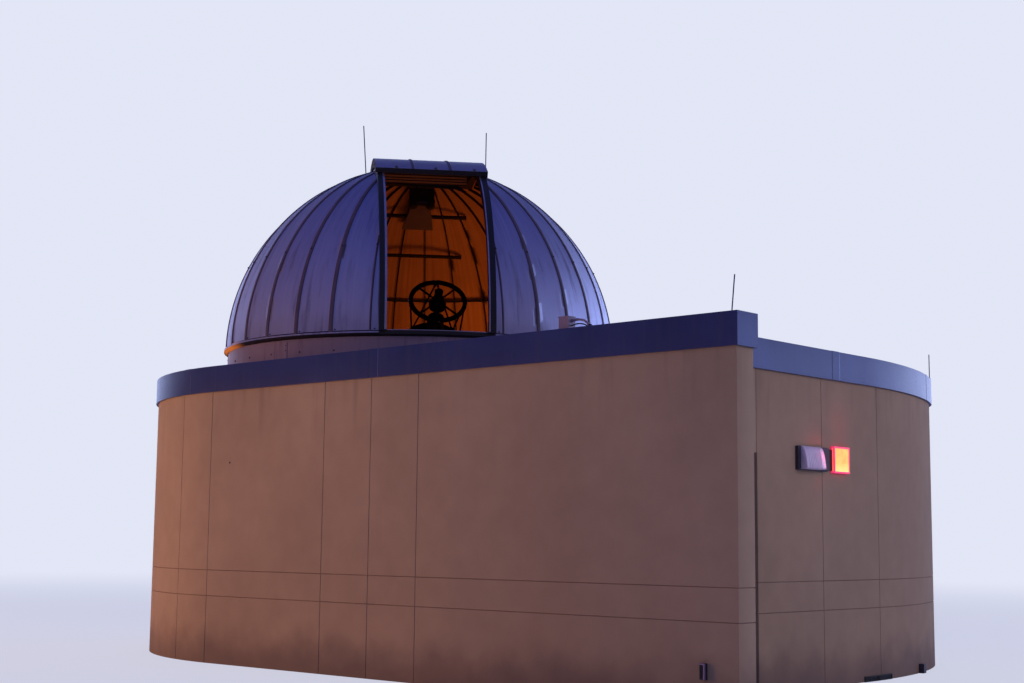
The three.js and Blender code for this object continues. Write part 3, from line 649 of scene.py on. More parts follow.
roofFinish = makeConcrete("roofMembrane", (0.40, 0.39, 0.42), (0.31, 0.30, 0.33), 0.001)
ribbedLens = makeMottled("ribbedLens", (0.80, 0.76, 0.92), (0.66, 0.62, 0.82), 14.0, roughness=0.25, specular=0.6,
                         coat=0.4, coatRoughness=0.1)
signFace = makeSignFace()
signEdge = makeMottled("litSignEdge", signFinish["edge"], signFinish["edgePale"], 20.0, 0.4, roughness=0.3,
                       glow=signFinish["edgeGlow"])
ringLip = makeRingLip()
mirrorGlass = makeMottled("mirrorGlass", (0.86, 0.88, 0.9), (0.74, 0.76, 0.78), 12.0, detail=8.0, metallic=1.0,
                          roughness=0.03)
print("finishes made")


# Walls: stucco with joints sunk into the face

wall = {
    "joint": 0.010,
    "jointDepth": 0.006,
    "joints": (-1, -0.55, 0.55, 1),  # a joint's section, as shares of half its width
    "levels": (0.7455, 1.034),
    "frontJoints": (1.868, 2.593, 3.286),
    "sideJoints": (-0.478,),
    "backJoints": (0.9, 2.85),
    "corner": 0.004,
    "fineStep": 1.0,  # degrees
    "plug": (0.269, 2.239),  # a small plug in the front wall, x and z
}
wall["thickness"] = building["finBackY"] - building["frontY"]
curvedWalls = {  # start, end and upright joints, degrees
    "left_wall_front": (210, 270, (229.0, 258.4, 268.66)),
    "left_wall_middle": (150, 210, (167.0, 198.0)),
    "left_wall_rear": (90, 150, (105.0, 136.0)),
    "right_curved_wall": (0, building["rightSweep"], (2.39,)),
    "rear_corner_wall": (building["rightSweep"], 90, (33.0, 68.0)),
}


def arcOf(node):  # centre and radius of the curve that a wall or coping follows
    curve = next(curve for curve in ("left", "right", "corner") if curve in node)
    return building[curve + "Centre"], building[curve + "Radius"]


def alongX(y, outward):
    return lambda x: (Vector((x, y, 0)), Vector((0, outward, 0)))


def alongY(x, outward):
    return lambda y: (Vector((x, y, 0)), Vector((outward, 0, 0)))


def alongArc(centre, radius):
    return lambda angle: arcFrame(centre, radius, angle)


def faceColumns(frameAt, start, end, step=inf, marks=(), half=wall["joint"] / 2):  # (point, outward, sunk)
    count = max(1, round((end - start) / step))
    places = [(start + (end - start) * i / count, False) for i in range(count + 1)]
    places = [place for place in places if all(abs(place[0] - mark) > half * 1.5 for mark in marks)]
    places += [(mark + half * share, abs(share) < 1) for mark in marks for share in wall["joints"]]
    return [(*frameAt(at), sunk) for at, sunk in sorted(places)]


def cornerColumns(x, y, before, after):
    corner, before, after = Vector((x, y, 0)), Vector((*before, 0)), Vector((*after, 0))
    size, both = wall["corner"], before + after
    return [(corner - after * size, before, False), (corner - both * size * 0.3, both * 0.7, False),
            (corner - before * size, after, False)]


def addWall(node, face, hidden):  # face: its columns; hidden: the rest of the outline
    low, high, half = lowOf(node).z, highOf(node).z, wall["joint"] / 2
    levels = [(low, False), (high, False)]
    for level in wall["levels"]:
        if low < level < high:
            levels += [(level + half * share, abs(share) < 1) for share in wall["joints"]]
    levels.sort()
    rings = []
    for z, sunk in levels:
        points = [point - outward * (wall["jointDepth"] if sunk or own else 0) for point, outward, own in face]
        rings.append([Vector((point[0], point[1], z)) for point in [*points, *hidden]])

    def inJoint(row, i):
        across = levels[row][1] and levels[row + 1][1]
        return int(i < len(face) - 1 and (across or (face[i][2] and face[i + 1][2])))

    mesh = bmesh.new()
    addLoft(mesh, rings, inJoint)
    addPiece(pieceName(node), mesh, "building", [sandStucco, jointSealant], node, sharpAngle=25)


def addCurvedWall(node, start, end, marks):
    centre, radius = arcOf(node)
    half, ends = degrees(wall["joint"] / 2 / radius), degrees(building["seat"] / 2 / radius)
    face = faceColumns(alongArc(centre, radius), start + ends, end - ends, wall["fineStep"], marks, half)
    inner = arcFrames(centre, radius - wall["thickness"], end - ends, start + ends, wall["fineStep"] * 3)
    addWall(node, face, [point for point, _ in inner])


def makeWalls():
    b, size, seat, onSide = building, wall["corner"], building["seat"], alongY(building["sideX"], 1)
    front = [
        *faceColumns(alongX(b["frontY"], -1), seat / 2, b["finEndX"] - size, marks=wall["frontJoints"]),
        *cornerColumns(b["finEndX"], b["frontY"], (0, -1), (1, 0))[1:],
        *cornerColumns(b["finEndX"], b["finBackY"], (1, 0), (0, 1)),
        (Vector((b["sideX"] + 0.0005, b["finBackY"], 0)), Vector((0, 1, 0)), False),
    ]
    addWall("front_wall", front, [(b["sideX"] - 0.0005, b["finBackY"]), (seat / 2, b["finBackY"])])

    def addSideWall(node, start, end, face):
        addWall(node, face, [(b["innerX"], end), (b["innerX"], start)])

    near, jamb = b["finBackY"] + seat, highOf("door_side_wall").y
    far, side = lowOf("side_wall").y, highOf("side_wall").y
    addSideWall("side_wall", far, side, [*cornerColumns(b["sideX"], far, (0, -1), (1, 0))[:2],
                                         *faceColumns(onSide, far + size, side, marks=wall["sideJoints"])])
    addSideWall("door_side_wall", near, jamb, [*faceColumns(onSide, near, jamb - size),
                                               *cornerColumns(b["sideX"], jamb, (1, 0), (0, 1))[1:]])
    start, end = jamb + seat, far - seat
    addSideWall("door_head_wall", start, end, faceColumns(onSide, start, end, marks=(far - wall["joint"],)))
    start, end, inner = seat / 2, highOf("back_wall").x, b["backY"] - wall["thickness"]
    face = faceColumns(alongX(b["backY"], 1), start, end, marks=wall["backJoints"])
    addWall("back_wall", face, [(end, inner), (start, inner)])
    for node, run in curvedWalls.items():
        addCurvedWall(node, *run)
    mesh = bmesh.new()
    x, z = wall["plug"]
    addTurned(mesh, (x, b["frontY"], z), (0, -1, 0), [(0.011, -0.004), (0.011, 0.003), (0.007, 0.005)], 12)
    addPiece("wallPlug", mesh, "building", [housingFinish])


makeWalls()
print("walls done")


# Coping: coated sheet, with cover plates over its joints

coping = {
    "proud": 0.03,
    "inner": 0.02,
    "innerBottom": 3.2,
    "round": 0.005,
    "plate": 0.135,
    "plateThickness": 0.0016,
    "bead": 0.005,  # sealant at the plate's edges
    "beadHeight": 0.001,
    "frontPlates": (2.64,),
    "sidePlates": (-0.226,),
}
curvedCopings = {  # start, end and middles of the cover plates, degrees
    "coping_left_front": (180, 270, (212.0, 260.4)),
    "coping_left_rear": (90, 180, (117.0, 163.0)),
    "coping_rear_corner": (building["rightSweep"], 90, (57.0,)),
    "coping_right_curve": (0, building["rightSweep"], (19.5,)),
}


def copingEdge(lift):  # the outer face and top, from the bottom up
    proud, top, size = coping["proud"] + lift, building["copingTop"] + lift, coping["round"]
    return [(proud, building["copingBottom"]), (proud, top - size), (proud - size * 0.3, top - size * 0.3),
            (proud - size, top), (-wall["thickness"] - building["seat"] - coping["inner"], top)]


def copingSection():
    seat, wallTop, low = building["seat"], building["wallTop"] + building["seat"], coping["innerBottom"]
    within = -wall["thickness"] - seat
    return [(within - coping["inner"], low), (within, low), (within, wallTop), (seat, wallTop),
            (seat, building["copingBottom"]), *copingEdge(0)]


def addCover(mesh, frameAt, middle, unit):  # unit: one metre in the run's own measure
    plate, bead, height = coping["plate"], coping["bead"], coping["beadHeight"]
    beside = (plate + bead) / 2
    strips = (0, plate, coping["plateThickness"]), (-beside, bead, height), (beside, bead, height)
    for material, (shift, width, lift) in enumerate(strips):
        frames = [frameAt(middle + (shift + width * share) * unit) for share in (-0.5, 0, 0.5)]
        addSweep(mesh, frames, [*copingEdge(lift), *reversed(copingEdge(0))], material)


def addCoping(node, mesh, frameAt, covers, unit=1.0):
    for middle in covers:
        addCover(mesh, frameAt, middle, unit)
    addPiece(pieceName(node), mesh, "building", [copingSheet, darkPaint, brightTrim], node,
             sharpAngle=25)


def addCurvedCoping(node, start, end, covers):
    centre, radius = arcOf(node)
    mesh = bmesh.new()
    ends = degrees(building["seat"] / 2 / radius)
    addSweep(mesh, arcFrames(centre, radius, start + ends, end - ends, wall["fineStep"]), copingSection())
    addCoping(node, mesh, alongArc(centre, radius), covers, degrees(1 / radius))


def addStraightCoping(node, frameAt, covers, onEdge):
    mesh = solidFrom(node)
    top = building["copingTop"] - 0.001
    edges = [edge for edge in mesh.edges if all(v.co.z > top and onEdge(v.co) for v in edge.verts)]
    bmesh.ops.bevel(mesh, geom=edges, offset=coping["round"], segments=2, affect="EDGES", profile=0.5)
    addCoping(node, mesh, frameAt, covers)


def makeCoping():
    b, proud = building, coping["proud"]
    isAt = lambda value, line: abs(value - line) < 1e-4

    def onFrontEdge(point):
        onBack = isAt(point.y, b["finBackY"] + proud) and point.x > b["sideX"] + proud + 0.01
        return isAt(point.y, b["frontY"] - proud) or isAt(point.x, b["finEndX"] + proud) or onBack

    addStraightCoping("coping_front", alongX(b["frontY"], -1), coping["frontPlates"], onFrontEdge)
    addStraightCoping("coping_side", alongY(b["sideX"], 1), coping["sidePlates"],
                      lambda point: isAt(point.x, b["sideX"] + proud))
    addStraightCoping("coping_back", alongX(b["backY"], 1), (), lambda point: isAt(point.y, b["backY"] + proud))
    for node, run in curvedCopings.items():
        addCurvedCoping(node, *run)


makeCoping()
print("coping done")


# Roof deck, its membrane seams, and the ring wall under the dome

roof = {
    "seams": (-2.25, 0.4, 2.3, 4.2),
    "lap": 0.07,
    "thickness": 0.004,
    "upturn": 0.1,
    "flashing": 0.05,
    "clear": 0.03,  # from a seam's end to the ring wall
}
ringWall = {
    "outer": -lowOf("ring_wall_front").y,
    "sheets": 8,
    "firstSeam": -84.4,  # degrees from +X
    "seamTop": 3.683,
    "seamFoot": 0.09,  # above the roof
    "seamPlate": ((-0.022, -0.004), (-0.022, 0.002), (-0.014, 0.0045), (0.014, 0.0045), (0.022, 0.002),
                  (0.022, -0.004)),
    "seamBolts": (3.2, 3.33, 3.46, 3.59, 3.65),
    "bolts": 33,
    "boltLevel": 3.56,
}


def makeRoof():
    b, outer, base = building, ringWall["outer"], building["roofTop"]
    for part in ("front", "back", "left", "right"):
        dressNode("roof_" + part, "building", roofFinish)
    mesh = bmesh.new()
    inset = b["sideX"] - b["innerX"] + 0.01
    for x in roof["seams"]:
        low, high = b["frontY"] + inset, b["backY"] - inset
        if x < 0:
            inside = sqrt((b["leftRadius"] - inset) ** 2 - x * x)
            low, high = b["leftCentre"][1] - inside, b["leftCentre"][1] + inside
        reach = sqrt(outer ** 2 - x * x) + roof["clear"] if abs(x) < outer else 0
        for start, end in [(low, -reach), (reach, high)] if reach else [(low, high)]:
            addBox(mesh, (x, start, base), (x + roof["lap"], end, base + roof["thickness"]))
    flat, top = roof["flashing"], base + roof["upturn"]
    profile = [(0, base), (flat, base), (flat, base + 0.004), (0.004, base + 0.012), (0.004, top), (0, top)]
    addSweep(mesh, arcFrames((0, 0), outer, 0, 357.5, 2.5), profile, loop=True)
    addPiece("roofSeams", mesh, "building", [roofFinish], arris=0.0015)
    dressNode("floor_slab", "building", concreteFinish, 0.004)


def makeRingWall():
    r = ringWall
    for part in ("front", "right", "back"):
        dressNode("ring_wall_" + part, "building", ringSheet)
    mesh = bmesh.new()
    for i in range(r["sheets"]):
        point, outward = arcFrame((0, 0), r["outer"], r["firstSeam"] + i * 360 / r["sheets"])
        along = Vector((-outward.y, outward.x, 0))
        outline = [(point + along * a + outward * c).xy for a, c in r["seamPlate"]]
        addPost(mesh, outline, building["roofTop"] + r["seamFoot"], r["seamTop"])
        for z in r["seamBolts"]:
            addBolt(mesh, raised(point + outward * 0.0045, z), outward, 0.009, 1)
    for i in range(r["bolts"]):
        point, outward = arcFrame((0, 0), r["outer"] - 0.001, r["firstSeam"] + 5 + 360 / r["bolts"] * i)
        addBolt(mesh, raised(point, r["boltLevel"]), outward, 0.012, 1)
    addPiece("ringWallSeams", mesh, "building", [ringSheet, ribMetal])
    dressNode("dome_track", "building", darkPaint)


makeRoof()
makeRingWall()
print("roof and ring wall done")


# Dome: gores, seam covers outside and flanges inside

gore = {"rows": 34, "columns": 6}
seamCover = {
    "half": 0.027,
    "firstHalf": 0.012,  # beside the slit
    "height": 0.009,
    "sunk": 0.004,
    "section": ((0.25, 1), (0.85, 0.72), (1, 0.3)),  # shares of the height and of half the width
    "rows": 34,
    "boltUp": 0.7,  # degrees above the gore's foot
}
flange = {"half": 0.005, "depth": 0.042}
baseRing = {
    "darkBelow": 3.750,
    "seal": (3.718, 3.738),
    "sealRadii": (2.487, 2.505, 2.510),
    "bead": ((2.498, 0), (2.512, 0), (2.512, 0.004), (2.503, 0.016)),
    "step": 3,  # degrees
}


def onSphere(azimuth, elevation, radius=1):
    a, e = radians(azimuth), radians(elevation)
    return Vector((cos(e) * cos(a), cos(e) * sin(a), sin(e))) * radius


def goreTop(azimuth):  # elevation where a meridian meets the slit's rail or its header
    side = dome["radius"] * sin(radians(azimuth))
    beside = degrees(acos(dome["slitEdge"] / side)) if side > dome["slitEdge"] else 0.0
    if azimuth <= 90:
        return max(beside, dome["foot"])
    lean = tan(radians(dome["slitEnd"] - 90))
    return max(beside, degrees(atan(-cos(radians(azimuth)) / lean)))


def climb(azimuth, rows, stopShort=0.0):  # elevations from the dome's foot up
    top = goreTop(azimuth) - stopShort
    return [dome["foot"] + (top - dome["foot"]) * row / rows for row in range(rows + 1)]


def addGore(mesh, first, last, middle, side):
    skins = []
    for radius in (dome["radius"], dome["radius"] - dome["skin"]):
        skin = []
        for column in range(gore["columns"] + 1):
            azimuth = first + (last - first) * column / gore["columns"]
            chord = cos(radians(dome["gore"] / 2)) / cos(radians(azimuth - middle))
            drawnIn = 1 - dome["flatness"] * (1 - chord)
            line = [onSphere(azimuth * side, elevation, radius) for elevation in climb(azimuth, gore["rows"])]
            skin.append([mesh.verts.new((point.x * drawnIn, point.y * drawnIn, point.z)) for point in line])
        skins.append(skin)
    outer, inner = skins
    for material, skin in enumerate(skins):
        for left, right in zip(skin, skin[1:]):
            for row in range(gore["rows"]):
                corners = (left[row], right[row], right[row + 1], left[row + 1])
                mesh.faces.new(corners).material_index = material
    rims = [(outer[i], inner[i]) for i in (0, -1)]
    rims += [([line[i] for line in outer], [line[i] for line in inner]) for i in (0, -1)]
    for outerLine, innerLine in rims:
        for i in range(len(outerLine) - 1):
            mesh.faces.new((outerLine[i], outerLine[i + 1], innerLine[i + 1], innerLine[i]))


def makeGores():
    foot = cos(radians(dome["foot"])) * dome["radius"]
    edges = [degrees(asin(dome["slitEdge"] / foot)) + 0.02, *dome["seams"], 180.0]
    middles = [seam - dome["gore"] / 2 for seam in dome["seams"]] + [180.0]
    spans = list(zip(edges, edges[1:], middles))
    split = dome["frontGores"] + 1
    for where, chosen in (("Front", spans[:split]), ("Rear", spans[split:])):
        for hand, side in (("Left", -1), ("Right", 1)):
            mesh = bmesh.new()
            for span in chosen:
                addGore(mesh, *span, side)
            bmesh.ops.remove_doubles(mesh, verts=mesh.verts, dist=1e-6)
            addPiece(f"gores{where}{hand}", mesh, "dome", [domeSkin, domeLining],
                     f"dome_shell_{where.lower()}_{hand.lower()}", sharpAngle=50)


def meridianRings(azimuth, profile, rows, stopShort=0.0):
    across = onSphere(azimuth + 90, 0)
    rings = []
    for elevation in climb(abs(azimuth), rows, stopShort):
        away = onSphere(azimuth, elevation)
        rings.append([away * (dome["radius"] + c) + across * a for a, c in profile])
    return rings


def makeSeams():
    height, radius, depth, thin = seamCover["height"], dome["radius"], flange["depth"], flange["half"]
    rise = [(-share, height * up) for up, share in seamCover["section"]]
    section = [(-1, -seamCover["sunk"]), *rise, *[(-a, c) for a, c in reversed(rise)], (1, -seamCover["sunk"])]
    web = [(-thin, -dome["skin"]), (-thin, -depth), (thin, -depth), (thin, -dome["skin"])]
    for hand, side in (("Left", -1), ("Right", 1)):
        covers, flanges = bmesh.new(), bmesh.new()
        for azimuth in dome["seams"]:
            half = seamCover["firstHalf" if azimuth == dome["firstSeam"] else "half"]
            rows = max(8, round(seamCover["rows"] * goreTop(azimuth) / 75))
            addLoft(covers, meridianRings(azimuth * side, [(half * share, out) for share, out in section], rows))
            addLoft(flanges, meridianRings(azimuth * side, web, rows, 0.5))
            if goreTop(azimuth) > dome["hoopLevel"] + 2:
                away = onSphere(azimuth * side, dome["hoopLevel"])
                addBolt(covers, away * (radius + height), away, 0.013, 1)
                addBolt(flanges, away * (radius - depth), -away, 0.014, 0)
            foot = onSphere((azimuth - degrees(0.055 / radius)) * side, dome["foot"] + seamCover["boltUp"])
            addBolt(covers, foot * (radius - 0.001), foot, 0.009, 1)
        addPiece(f"seamCovers{hand}", covers, "dome", [ribMetal, darkPaint])
        addPiece(f"seamFlanges{hand}", flanges, "dome", [brownPaint])


def makeBaseRing():
    def addSeals(mesh):  # a brush seal inside the skirt, and a bead where the skin meets the ring
        low, high = (level - dome["centreZ"] for level in baseRing["seal"])
        inner, outer, rim = baseRing["sealRadii"]
        turns = arcFrames((0, 0), 0, 0, 360 - baseRing["step"], baseRing["step"])
        addSweep(mesh, turns, [(inner, high), (inner, low), (outer, low + 0.004), (rim, high)], 1, loop=True)
        foot = dome["radius"] * sin(radians(dome["foot"]))
        wide = degrees(asin(dome["slitEdge"] / dome["radius"]))
        addSweep(mesh, arcFrames((0, 0), 0, wide, 360 - wide, baseRing["step"]),
                 [(radius, foot + up) for radius, up in baseRing["bead"]], 1)

    def addDetails(mesh):
        level = baseRing["darkBelow"] - dome["centreZ"]
        parts = [*mesh.verts, *mesh.edges, *mesh.faces]
        bmesh.ops.bisect_plane(mesh, geom=parts, plane_co=(0, 0, level), plane_no=(0, 0, 1))
        paintFaces(mesh, lambda face: face.calc_center_median().z < level)
        addSeals(mesh)

    dressNode("dome_base_ring", "dome", domeSkin, details=addDetails, extras=[ringLip])


makeGores()
makeSeams()
makeBaseRing()
print("dome skin done")


# Slit: rails with a bright inner edge, sill and header

trim = {"width": {-1: 0.023, 1: 0.014}, "thickness": 0.0014, "returnDepth": 0.008, "top": 94.6, "steps": 44}
sill = {"front": 2.533, "back": 2.46, "low": 3.734, "high": 3.784, "lip": 0.008, "half": 0.676}
header = {
    "start": 95.0,
    "under": 2.391,
    "battens": (2.391, 2.432, 2.468),
    "battenHeight": 0.012,
    "plate": 0.25,  # degrees thick
    "drop": 0.055,
    "end": 0.42,
    "bracket": 0.05,
}


def overTop(angle, radius, side):  # a point in the dome's own frame, by its angle up and over from the front
    a = radians(angle)
    return Vector((radius * cos(a), side, radius * sin(a)))


def addCurvedBar(mesh, start, end, steps, outline, material=0):  # outline: (radius, side)
    angles = [start + (end - start) * i / steps for i in range(steps + 1)]
    addLoft(mesh, [[overTop(angle, radius, side) for radius, side in outline] for angle in angles], material)


def squared(low, high, left, right):
    return [(low, left), (high, left), (high, right), (low, right)]


def makeSlit():
    t, top = trim, dome["railTop"]
    trims = bmesh.new()
    for hand, side in (("left", -1), ("right", 1)):
        inner, outer = dome["slitHalf"] * side, (dome["slitHalf"] + t["width"][side]) * side
        clear = t["thickness"] * side
        outline = [(top + 0.0002, outer), (top + t["thickness"], outer), (top + t["thickness"], inner - clear),
                   (top - t["returnDepth"], inner - clear), (top - t["returnDepth"], inner - clear * 0.1),
                   (top + 0.0002, inner - clear * 0.1)]
        addCurvedBar(trims, dome["foot"] + 0.3, t["top"], t["steps"], outline)
        dressNode("slit_rail_" + hand, "dome", darkPaint, 0.003)
    addPiece("slitTrims", trims, "dome", [brightTrim])


def makeHeader():
    def addWedge(mesh):  # battens, a plate that hangs lower to one side, and a bracket at its end
        h, half = header, dome["slitHalf"] - 0.004
        # faces towards the front take the header lining, which carries a stronger painted glow of lamplight
        paintFaces(mesh, lambda face: face.normal.x > 0.9)
        for low in h["battens"]:
            batten = squared(low, low + h["battenHeight"], -half, half)
            addCurvedBar(mesh, h["start"] - 0.15, h["start"] + 0.05, 1, batten)
        under, low, end = h["under"], h["under"] - h["drop"], h["end"]
        plate = [(under, -half), (under, end), (low, end)]
        bracket = [(low + 0.012, end - 0.01), (low - h["bracket"], half), (low - h["bracket"] + 0.03, half),
                   (under, end + 0.05), (under, end - 0.01)]
        for outline in (plate, bracket):
            addCurvedBar(mesh, h["start"] + 0.05, h["start"] + 0.05 + h["plate"], 1, outline)

    dressNode("slit_header", "dome", darkPaint, 0.003, addWedge, [headerLining])


def makeSill():
    s = sill
    low, high = s["low"] - dome["centreZ"], s["high"] - dome["centreZ"]
    under, depth = high - s["lip"], s["front"] - s["back"]
    dark = [(0, low), (0, under), (-0.004, under), (-0.004, low + 0.004), (-0.03, low + 0.004), (-0.03, low)]
    lip = [(0.001, under), (0.001, high), (-depth, high), (-depth, high - 0.003), (-0.003, high - 0.003),
           (-0.003, under)]
    mesh = bmesh.new()
    for half, profile, material in ((s["half"], dark, 1), (dome["slitHalf"] - 0.002, lip, 0)):
        wide = degrees(asin(half / s["front"]))
        addSweep(mesh, arcFrames((0, 0), s["front"], -wide, wide, 1.5), profile, material)
    addPiece("slitSill", mesh, "dome", [brightTrim, darkPaint])


# Shutter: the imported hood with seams, fascia plate, purlins and lifting lugs

hood = {
    "half": 0.698,
    "inner": 2.561,
    "outer": 2.581,
    "front": 59.5,
    "sweep": 100.0,
    "fascia": 2.518,
    "cap": ((-0.002, -0.016), (0.006, -0.016), (0.009, -0.01), (0.009, 0.01), (0.006, 0.016), (-0.002, 0.016)),
    "capSteps": 40,
    "lug": ((-0.001, -0.02), (0.012, -0.014), (0.012, 0.014), (-0.001, 0.02)),
    "lugs": (-0.44, 0.05, 0.53),
    "purlins": (2.2, 14, 25, 36, 63, 75, 86),
    "purlinDepth": 0.03,
}


def makeShutter():
    h = hood
    dressNode("shutter_hood", "shutter", hoodSheet, 0.0025,
              lambda mesh: paintFaces(mesh, lambda face: abs(face.normal.y) > 0.9), [brownPaint])
    mesh = bmesh.new()
    front, end, outer, half = h["front"], h["front"] + h["sweep"], h["outer"], h["half"]
    first, last, steps, wide = front + 0.05, end - 0.05, h["capSteps"], half - 0.001
    for side in (-half / 3, half / 3):
        addCurvedBar(mesh, first, last, steps, [(outer + up, side + across) for up, across in h["cap"]], 1)
        # a bright strip beside each cap: a painted highlight along its edge
        edge = squared(outer - 0.001, outer + 0.0025, side + 0.016, side + 0.022)
        addCurvedBar(mesh, first, last, steps, edge, 4)
    for side in h["lugs"]:
        lug = [(outer + up, side + across) for up, across in h["lug"]]
        addCurvedBar(mesh, front + 0.15, front + 1.5, 2, lug, 1)
        addBolt(mesh, overTop(end - 1.2, outer, side), overTop(end - 1.2, 1, 0), 0.014, 1)
    addCurvedBar(mesh, front, front + 0.25, 1, squared(outer, outer + 0.002, -wide, wide), 4)
    for angle, bottom in ((front - 0.06, h["fascia"] + 0.001), (end + 0.06, h["inner"])):
        addCurvedBar(mesh, angle - 0.03, angle + 0.03, 1, squared(bottom, outer - 0.001, -wide, wide), 2)
    purlin = squared(h["inner"] - h["purlinDepth"], h["inner"] + 0.001, 0.013 - half, half - 0.013)
    for at in h["purlins"]:
        addCurvedBar(mesh, front + at, front + at + 0.6, 1, purlin, 3)
    addPiece("hoodSeams", mesh, "shutter", [hoodSheet, ribMetal, darkPaint, domeLining, brightTrim],
             arris=0.0015)


# Inside the dome: hoop, ties and the shutter's drive

drive = {
    "angle": 105.0,
    "radius": 2.28,
    "motorRadius": 0.062,
    "motorLength": 0.13,
    "motorSides": (-0.10, 0.14),
    "fins": 6,
}


def makeDomeInside():
    for node in ("dome_hoop", "cross_tie_upper", "cross_tie_lower"):
        dressNode(node, "dome", darkPaint, 0.003)

    def addMotors(mesh):
        r, half, fins = drive["motorRadius"], drive["motorLength"] / 2, drive["fins"]
        profile = [(r * 0.55, -half - 0.012), (r * 0.9, -half), (r, -half + 0.01)]
        for i in range(fins):
            at = -half + 0.02 + i * (half * 2 - 0.04) / (fins - 1)
            profile += [(r, at - 0.004), (r * 0.93, at), (r, at + 0.004)]
        profile += [(r, half - 0.01), (r * 0.9, half), (r * 0.55, half + 0.012)]
        angle, radius = drive["angle"], drive["radius"]
        for side in drive["motorSides"]:
            addTurned(mesh, overTop(angle, radius, side), overTop(angle, 1, 0), profile, 20)

    dressNode("shutter_drive", "dome", darkPaint, 0.004, addMotors)
    dressNode("drive_guard", "dome", ribMetal)
    for hand in ("left", "right"):
        dressNode("dome_rod_" + hand, "dome", rodFinish, 0.001)


makeSlit()
makeHeader()
makeSill()
makeShutter()
makeDomeInside()
print("slit, shutter and dome inside done")


# Telescope

telescope = {
    "offset": 0.15,  # to one side of the dome's axis
    "altitudeZ": 3.874,
    "elevation": 37.0,
    "ringAt": 0.87,
    "ringHalf": 0.02,
    "ringCut": 0.004,
    "ringRadius": 0.37,
    "ringInner": 0.317,
    "poleNode": 0.350,
    "poleFoot": 0.38,
    "poleRadius": 0.011,
    "poleSocket": ((0.019, -0.005), (0.019, 0.06), (0.014, 0.075), (0.014, 0.08)),
    "poleTip": ((0.013, 0), (0.017, 0.01), (0.017, 0.085)),
    "cellFront": 0.045,
    "clamp": ((0, 0.347), (0, 0.41), (0.004, 0.412), (0.026, 0.412), (0.03, 0.41), (0.03, 0.345)),
    "boltTurn": 8,  # degrees to each side of a pole's foot
    "cellBolts": 12,
    "cellBoltRadius": 0.3964,
    "cellHoops": (-0.25, 0.012),
    "mirror": ((0.0055, 0.352), (0.021, 0.352), (0.0157, 0.264), (0.012, 0.176), (0.0095, 0.118),
               (0.0055, 0.118)),  # distance along the tube and radius, a shallow bowl with a hole
    "secondaryHoops": ((0.772, 0.104, 0.109), (0.832, 0.104, 0.109), (1.034, 0.050, 0.056)),
}
bodyPlaces["fork"] = domePlace @ Matrix.Translation((0, telescope["offset"], 0))
bodyPlaces["tube"] = (domeTurn @ Matrix.Translation((0, telescope["offset"], telescope["altitudeZ"]))
                      @ Matrix.Rotation(-radians(telescope["elevation"]), 4, "Y"))


def addHoop(mesh, section, sides=64, material=0):  # section: (distance along the tube, radius)
    turns = [tau * i / sides for i in range(sides)]
    addLoft(mesh, [[Vector((x, r * cos(a), r * sin(a))) for x, r in section] for a in turns], material, loop=True)


def addBand(mesh, start, width, inner, outer, sides=64):
    end = start + width
    addHoop(mesh, [(start, inner), (start, outer), (end, outer), (end, inner)], sides)


def aroundTube(x, radius, turned):  # turned: degrees round the tube
    a = radians(turned)
    return Vector((x, radius * cos(a), radius * sin(a)))


def makeTruss():
    t = telescope
    mesh = bmesh.new()
    at, outer, inner = t["ringAt"], t["ringRadius"], t["ringInner"]
    half, cut = t["ringHalf"], t["ringCut"]
    addHoop(mesh, [(at - half, inner + cut), (at - half, outer - cut), (at - half + cut, outer),
                   (at + half - cut, outer), (at + half, outer - cut), (at + half, inner + cut),
                   (at + half - cut, inner), (at - half + cut, inner)])
    seat = t["cellFront"] + building["seat"]
    addHoop(mesh, [(seat + x, radius) for x, radius in t["clamp"]])
    for corner in range(4):
        quarter = 90 * corner
        node = aroundTube(at, t["poleNode"], quarter)
        for turn in (-45, 45):
            foot = aroundTube(seat + 0.015, t["poleFoot"], quarter + turn)
            along = (node - foot).normalized()
            addRod(mesh, foot, node, t["poleRadius"], 14)
            addTurned(mesh, foot, along, t["poleSocket"], 14)
            addTurned(mesh, node - along * 0.09, along, t["poleTip"], 14)
        addBolt(mesh, aroundTube(at, outer, quarter), aroundTube(0, 1, quarter), 0.016, 1)
        for shift in (-t["boltTurn"], t["boltTurn"]):
            place = aroundTube(seat + 0.015, 0.411, quarter + 45 + shift)
            addBolt(mesh, place, aroundTube(0, 1, quarter + 45), 0.011, 1)
    addPiece("telescopeTruss", mesh, "tube", [tubePaint, steelFinish], "telescope_truss")


def makeMirrors():
    def addSecondaryBands(mesh):
        for start, inner, outer in telescope["secondaryHoops"]:
            addBand(mesh, start, 0.012, inner, outer, 40)

    def addCellDetails(mesh):
        t = telescope
        for i in range(t["cellBolts"]):
            turned = 360 / t["cellBolts"] * i + 15
            addBolt(mesh, aroundTube(-0.02, t["cellBoltRadius"], turned), aroundTube(0, 1, turned), 0.013, 2)
        for start in t["cellHoops"]:
            addBand(mesh, start, 0.03, 0.398, 0.407)
        addHoop(mesh, t["mirror"], material=1)

    dressNode("secondary_mirror", "tube", tubePaint, 0.001, addSecondaryBands)
    dressNode("mirror_cell", "tube", tubePaint, 0.002, addCellDetails, [mirrorGlass, steelFinish])


makeTruss()
makeMirrors()
dressNode("telescope_fork", "fork", tubePaint, 0.006)
dressNode("telescope_pier", "building", concreteFinish, 0.008)
print("telescope done")


# Doorway

door = {
    "face": 6.100,
    "plateLow": 0.125,
    "plateHigh": 0.375,
    "plateProud": 0.0015,
    "rose": 0.026,
    "handle": 1.080,
    "lock": 1.182,
    "barrel": ((0.024, -0.001), (0.024, 0.008), (0.014, 0.011), (0.014, 0.016)),
}


